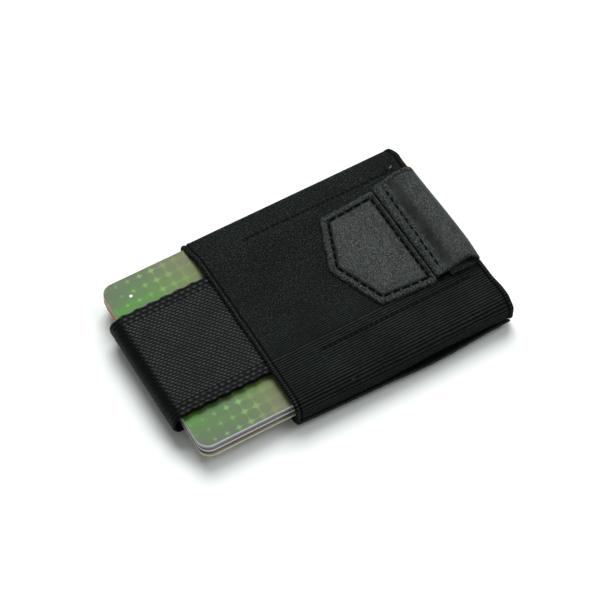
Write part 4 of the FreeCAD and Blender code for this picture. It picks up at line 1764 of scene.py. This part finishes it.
@dataclass
class Tab:
    """Leather pull tab: a strip folded into a loop, its ends sewn over the strap's end.

    Attributes:
        upper_half: Half thickness of the upper layer, in millimetres.
        lower_half: Half thickness of the lower layer.
        row_near: Distance from the tab's left side to the stitches, at its near end.
        row_far: The same at its far end.
        groove: Depth of the sewn groove.
        dent: How far the leather sinks beyond the stitches.
        pitch: Spacing of the stitches.
        margin: Distance from each end of the tab to the row of stitches.
        rolled: How much thicker the upper layer is along its two side cuts.
        peep: How far the lower layer stands out at the near end.
        fold: Middle line of the leather, from its upper cut round the fold to its lower cut,
            as distances from the left and from the bottom of its CAD box.
    """

    upper_half: float = 0.45
    lower_half: float = 0.35
    row_near: float = 1.5
    row_far: float = 2.3
    groove: float = 0.42
    dent: float = 0.5
    pitch: float = 2.35
    margin: float = 2.6
    rolled: float = 0.28
    peep: float = 0.85
    fold: tuple[tuple[float, float], ...] = (
        (0.00, 0.45),
        (0.08, 0.90),
        (0.60, 1.35),
        (1.90, 1.40),
        (3.10, 1.65),
        (4.70, 2.20),
        (6.70, 2.75),
        (8.80, 3.00),
        (10.2, 2.85),
        (11.1, 2.20),
        (11.35, 1.45),
        (11.0, 0.80),
        (9.80, 0.36),
        (7.50, 0.30),
        (5.00, 0.30),
        (3.30, 0.30),
    )

    def row(self, y: np.ndarray) -> np.ndarray:
        """Gives the stitches' place along X, at each place across the tab."""
        low, high = box_mm("tab_leather")
        share = (y - low[1]) / (high[1] - low[1])
        return low[0] + self.row_near + (self.row_far - self.row_near) * share

    def build(self, f: Fitter) -> bpy.types.Object:
        """Builds the folded leather."""
        low, high = box_mm("tab_leather")
        curve = spline([(low[0] + dx, low[2] + dz) for dx, dz in self.fold], 500)
        total = path_length(curve)
        places = stations(0.0, total, 0.2, 0.4)
        line = resample(curve, places)
        across = stations(low[1], high[1], 0.27, 0.4)
        s, y = np.meshgrid(places, across, indexing="ij")
        x = np.broadcast_to(line[:, :1], s.shape).copy()
        z = np.broadcast_to(line[:, 1:], s.shape).copy()
        share = (y - low[1]) / (high[1] - low[1])
        upper = 1 - ease(s, total * 0.46, total * 0.56)
        unsteady = ruffle(np.stack([y, y * 0, y * 0], 2), 0.9, 3.3)
        beyond = x - self.row(y) + 0.22 * unsteady
        folded = ease(x, high[0] - 5.5, high[0] - 0.5)
        x += folded * (0.22 * np.sin(share * 4.0 + 0.6) - 0.3 * bell(share, 0.0, 0.1))
        y = y - self.peep * (1 - upper) * (1 - ease(share, 0.0, 0.12))
        place = np.stack([x, y, z], 2)
        puckers = 0.5 + 0.5 * ruffle(np.stack([s * 0.3, y, y * 0], 2), 1.3, 5.2)
        slope = ease(beyond, 0.2, 1.0) * (1 - ease(beyond, 1.6, 3.8))
        ends = ease(share, 0.02, 0.12) * (1 - ease(share, 0.86, 0.98))
        z -= upper * slope * (self.dent + 0.35 * puckers) * ends
        z += upper * 0.14 * ruffle(place, 4.2, 7.7) * ease(beyond, 1.0, 3.0)
        creased = np.stack([x * 0.45, y * 1.5, y * 0], 2)
        z += upper * 0.16 * ruffle(creased, 0.9, 2.7) * ease(beyond, 0.3, 1.2) * (1 - ease(beyond, 3.0, 6.0))
        middle = np.stack([x, y, z], 2)
        side_cut = np.minimum(share, 1 - share) * (high[1] - low[1])
        end_cut = np.minimum(s, total - s)
        from_cut = np.minimum(side_cut, end_cut)
        half = self.lower_half + (self.upper_half - self.lower_half) * upper
        half = half + self.rolled * upper * bell(side_cut, 0.55, 0.5) * ease(beyond, 0.4, 2.0)
        half_grid = rounded_rim(from_cut, 1.0, 0.4) * half
        relief = -self.groove * (1 + 0.5 * unsteady) * bell(beyond, 0.0, 0.4) * upper
        relief *= ease(side_cut, 1.4, 2.4)
        lips = bell(beyond, -0.6, 0.5) + bell(beyond, 0.6, 0.4)
        relief += 0.3 * ruffle(place, 0.8, 3.9) * lips * upper
        relief += 0.14 * ruffle(place, 0.5, 3.9) * (1 - ease(from_cut, 0.6, 1.4))
        relief *= ease(from_cut, 0.0, 0.3)
        fuzzy = 1.25 + 1.5 * np.abs(beyond - 0.55) + 6.0 * (1 - upper)
        shown_cut = np.minimum(np.minimum(side_cut + 0.95 * upper, end_cut), fuzzy)
        skin = Skin("tab_leather_loop", middle, half_grid, relief, np.stack([shown_cut, y], 2), False, 1)
        if skin.normals()[len(places) // 6, len(across) // 2, 2] < 0:
            skin.outward = -1
        piece = skin.build()
        material = LeatherFinish().make(f.groups, "leather_tab", 1.8, 0.7)
        f.fit(piece, material, ["tab_leather"], Body.TAB.value)
        return piece

    def build_stitches(self, f: Fitter, thread: bpy.types.Material) -> bpy.types.Object:
        """Builds the row of stitches through the tab."""
        low, high = box_mm("tab_leather")
        top = low[2] + self.fold[3][1] + self.upper_half - self.groove * 0.75
        near, far = low[1] + self.margin, high[1] - self.margin
        seam = Seam(radius=0.27, length=1.75)
        start = np.array([float(self.row(near)), near, top])
        end = np.array([float(self.row(far)), far, top])
        piece = seam.build("tab_thread", seam.row(start, end, self.pitch), 0.1, 0.45, seed=5)
        return f.fit(piece, thread, ["tab_stitches"], Body.TAB.value)


# ---- Seams of the sleeve ----


@dataclass
class SleeveSeams:
    """Rows of stitches through the sleeve, its lining, the strap's sewn end and the pocket.

    Attributes:
        sleeve: The elastic tube.
        pitch: Spacing of the stitches, in millimetres.
        sink: How far below the elastic's face a row lies.
    """

    sleeve: bpy.types.Object
    pitch: float = 2.9
    sink: float = 0.1

    def rows_along_x(self, f: Fitter, thread: bpy.types.Material) -> None:
        """Builds the two rows beside the strap's channel."""
        seam = Seam(radius=0.17, length=1.5)
        for side, far_shift in (("near", 0.0), ("far", 0.7)):
            node = f"channel_stitches_{side}"
            low, high = box_mm(node)
            y = (low[1] + high[1]) / 2
            start = np.array([low[0] - 0.4, y + far_shift, high[2]])
            end = np.array([high[0] + 0.6, y - far_shift * 0.4, high[2]])
            stitches = seam.laid(seam.row(start, end, self.pitch), self.sleeve, self.sink)
            piece = seam.build(f"channel_thread_{side}", stitches, 0.08, 1.2, seed=8)
            f.fit(piece, thread, [node], Body.SLEEVE.value)

    def row_across(self, f: Fitter, thread: bpy.types.Material) -> None:
        """Builds the row that closes the channel beyond the slit."""
        low, high = box_mm("channel_end_stitches")
        x = (low[0] + high[0]) / 2
        seam = Seam(radius=0.2, length=1.8)
        start = np.array([x, low[1] - 2.8, high[2]])
        end = np.array([x, high[1] + 1.6, high[2]])
        row = seam.row(start, end, self.pitch)
        stitches = seam.laid(row, self.sleeve, self.sink)
        piece = seam.build("channel_thread_end", stitches, 0.14, 1.2, seed=9)
        f.fit(piece, thread, ["channel_end_stitches"], Body.SLEEVE.value)

    def anchor_rows(self, f: Fitter, thread: bpy.types.Material) -> None:
        """Builds the rows that hold the strap's sewn end, under the back wall."""
        low, high = box_mm("strap_anchor_stitches")
        seam = Seam(radius=0.14, length=1.9)
        stitches = []
        for x in (low[0] + 0.25, high[0] - 0.25):
            stitches += seam.row(np.array([x, low[1], high[2]]), np.array([x, high[1], high[2]]), self.pitch)
        piece = seam.build("strap_anchor_thread", stitches, 0.02, 0.3, up=-1.0, seed=10)
        f.fit(piece, thread, ["strap_anchor_stitches"], Body.SLEEVE.value)

    def pocket_rows(self, f: Fitter, thread: bpy.types.Material) -> None:
        """Builds the pocket's two seams, sunk into its back."""
        low, high = box_mm("pocket_seam_stitches")
        seam = Seam(radius=0.17, length=1.9)
        near, far = low[1] + 0.2, high[1] - 0.2
        bottom = 0.3
        stitches = seam.row(np.array([low[0], far, bottom]), np.array([high[0], far, bottom]), self.pitch)
        short_end = np.array([low[0] + 25.0, near, bottom])
        stitches += seam.row(np.array([low[0], near, bottom]), short_end, self.pitch)
        piece = seam.build("pocket_thread", stitches, 0.05, 0.8, up=-1.0, seed=12)
        f.fit(piece, thread, ["pocket_seam_stitches"], Body.SLEEVE.value)

    def loose_end(self, f: Fitter) -> None:
        """Builds the cut end of thread left beside the tab, frayed and so paler."""
        thread = ThreadFinish(ink(0.06), ink(0.4)).make(f.groups, "thread_cut_end")
        seam = Seam(radius=0.26, length=1.6)
        row_end = box_mm("channel_stitches_far")[1]
        ends = (row_end + (0.5, 0.3, 0.0), row_end + (1.6, 0.7, 0.0))
        piece = seam.build("thread_end", seam.laid([ends], self.sleeve, -0.25), 0.35, 0.3, seed=13)
        f.fit(piece, thread, [], Body.SLEEVE.value)


# ---- Cards ----


@dataclass
class CardStack:
    """The five payment cards.

    Attributes:
        corner: Radius of a card's corners, in millimetres.
        bevel: Width of its rounded edges.
    """

    corner: float = 3.18
    bevel: float = 0.13

    def build(self, f: Fitter) -> None:
        """Builds and dresses every card."""
        white = grey(0.74)
        finishes = {
            "card_1": CardFinish(
                (0.52, 0.48, 0.36, 1), (0.40, 0.36, 0.26, 1), (0.62, 0.58, 0.44, 1), (0.62, 0.30, 0.15, 1)
            ),
            "card_2": CardFinish(grey(0.05), grey(0.03), grey(0.025), (0.22, 0.10, 0.06, 1)),
            "card_3": CardFinish(grey(0.42), grey(0.30), grey(0.60), (0.66, 0.36, 0.22, 1)),
            "card_4": CardFinish(grey(0.25), grey(0.18), grey(0.34), (0.50, 0.27, 0.17, 1)),
            "card_5": DottedCardFinish(
                (0.064, 0.214, 0.019, 1), (0.093, 0.116, 0.073, 1), white, (0.62, 0.40, 0.24, 1)
            ),
        }
        for node, finish in finishes.items():
            piece = self.plate(node)
            material = finish.make(f.groups, f"{node}_print")
            f.fit(piece, material, [node], node)

    def plate(self, node: str) -> bpy.types.Object:
        """Builds one card with rounded corners and edges."""
        low, high = box_mm(node)
        rings = []
        lifts = [(1.0, 0.0), (0.3, 0.3), (0.0, 1.0), (0.0, -1.0), (0.3, -0.3), (1.0, 0.0)]
        for k, (inset, lift) in enumerate(lifts):
            inward = inset * self.bevel
            corners = [
                (low[0] + inward, low[1] + inward),
                (high[0] - inward, low[1] + inward),
                (high[0] - inward, high[1] - inward),
                (low[0] + inward, high[1] - inward),
            ]
            outline = rounded_path(corners, [self.corner - inward] * 4, True)
            z = (low[2] if k < 3 else high[2]) + lift * self.bevel
            rings.append(np.concatenate([outline, np.full((len(outline), 1), z)], 1))
        count = len(rings[0])
        index = np.arange(len(rings) * count).reshape(len(rings), count)
        faces = Patch.rings_faces(index, False)
        faces += [index[0][::-1].tolist(), index[-1].tolist()]
        piece = make_object(f"{node}_plate", np.concatenate(rings), faces)
        for cap in piece.data.polygons[-2:]:
            cap.use_smooth = False
        return piece


# ---- Studio ----


@dataclass
class Studio:
    """Camera, soft lights and pale floor.

    Attributes:
        azimuth: Direction of the view round the wallet, in degrees.
        elevation: Height of the view over the horizon.
        roll: Tilt of the frame.
        target: Point that the camera looks at, in millimetres.
        distance: Distance to it.
        lens: Focal length on the sensor.
        sensor: Width of the sensor.
    """

    azimuth: float = -27.431
    elevation: float = 55.114
    roll: float = -2.839
    target: tuple[float, float, float] = (-13.035, -1.296, 7.35)
    distance: float = 615.84
    lens: float = 150.01
    sensor: float = 36.0

    def camera(self) -> None:
        """Makes the camera."""
        a, e, r = (math.radians(v) for v in (self.azimuth, self.elevation, self.roll))
        back = Vector((math.sin(a) * math.cos(e), -math.cos(a) * math.cos(e), math.sin(e)))
        right = Vector((math.cos(a), math.sin(a), 0.0))
        up = back.cross(right)
        x_axis = right * math.cos(r) + up * math.sin(r)
        y_axis = up * math.cos(r) - right * math.sin(r)
        data = bpy.data.cameras.new("camera")
        data.lens = self.lens
        data.sensor_width = self.sensor
        data.clip_start = 0.01
        data.clip_end = 20.0
        made = bpy.data.objects.new("camera", data)
        turn = Matrix((x_axis, y_axis, back)).transposed().to_4x4()
        place = (Vector(self.target) + back * self.distance) * MM
        made.matrix_world = Matrix.Translation(place) @ turn
        bpy.context.scene.collection.objects.link(made)
        bpy.context.scene.camera = made

    def lamp(
        self, name: str, place: Sequence[float], size: float, power: float, tint: Sequence[float]
    ) -> None:
        """Makes one soft square light that looks at the wallet.

        Args:
            name: Name of the light.
            place: Where it hangs, in metres.
            size: Its width, in metres.
            power: Its power, in watts.
            tint: Its colour.
        """
        data = bpy.data.lights.new(name, "AREA")
        data.size = size
        data.energy = power
        data.color = tint
        made = bpy.data.objects.new(name, data)
        made.location = place
        made.rotation_euler = (-Vector(place)).to_track_quat("-Z", "Y").to_euler()
        bpy.context.scene.collection.objects.link(made)

    def floor(self, f: Fitter) -> None:
        """Makes the floor."""
        reach = 1500.0
        turns = [(-1, -1, 0), (1, -1, 0), (1, 1, 0), (-1, 1, 0)]
        corners = np.array(turns, float) * reach
        made = make_object("floor", corners, [[0, 1, 2, 3]])
        made.data.materials.append(FloorFinish().make(f.groups, "floor_pale"))

    def build(self, f: Fitter) -> None:
        """Makes the whole studio."""
        self.camera()
        self.floor(f)
        self.lamp("key_light", (0.5, 0.9, 1.5), 1.2, 35.0, (0.965, 1.0, 0.992))
        self.lamp("side_light", (0.9, -0.4, 1.3), 0.9, 7.0, (0.97, 0.99, 1.0))
        world = bpy.data.worlds.new("studio_air")
        world.use_nodes = True
        air = world.node_tree.nodes["Background"]
        air.inputs["Color"].default_value = (0.965, 1.0, 0.99, 1.0)
        air.inputs["Strength"].default_value = 0.25
        scene = bpy.context.scene
        scene.world = world
        scene.view_settings.view_transform = "Standard"
        scene.view_settings.look = "None"


# ---- Assembly ----


def main() -> None:
    """Builds every sub-assembly in order."""
    logging.basicConfig(level=logging.INFO, format="%(message)s")
    fitter = Fitter(Groups())
    Studio().build(fitter)
    CardStack().build(fitter)
    sleeve = Sleeve()
    tube = sleeve.build_sleeve(fitter)
    sleeve.build_pocket(fitter)
    sleeve.build_lining(fitter)
    strap = Webbing()
    strap.build_loop(fitter)
    strap.build_tail(fitter)
    thread = ThreadFinish().make(fitter.groups, "thread_black")
    patch = Patch()
    patch.build(fitter)
    patch.build_fray(fitter)
    patch.build_stitches(fitter, thread)
    tab = Tab()
    tab.build(fitter)
    tab.build_stitches(fitter, thread)
    seams = SleeveSeams(tube)
    seams.rows_along_x(fitter, thread)
    seams.row_across(fitter, thread)
    seams.anchor_rows(fitter, thread)
    seams.pocket_rows(fitter, thread)
    seams.loose_end(fitter)


if __name__ == "__main__":
    main()
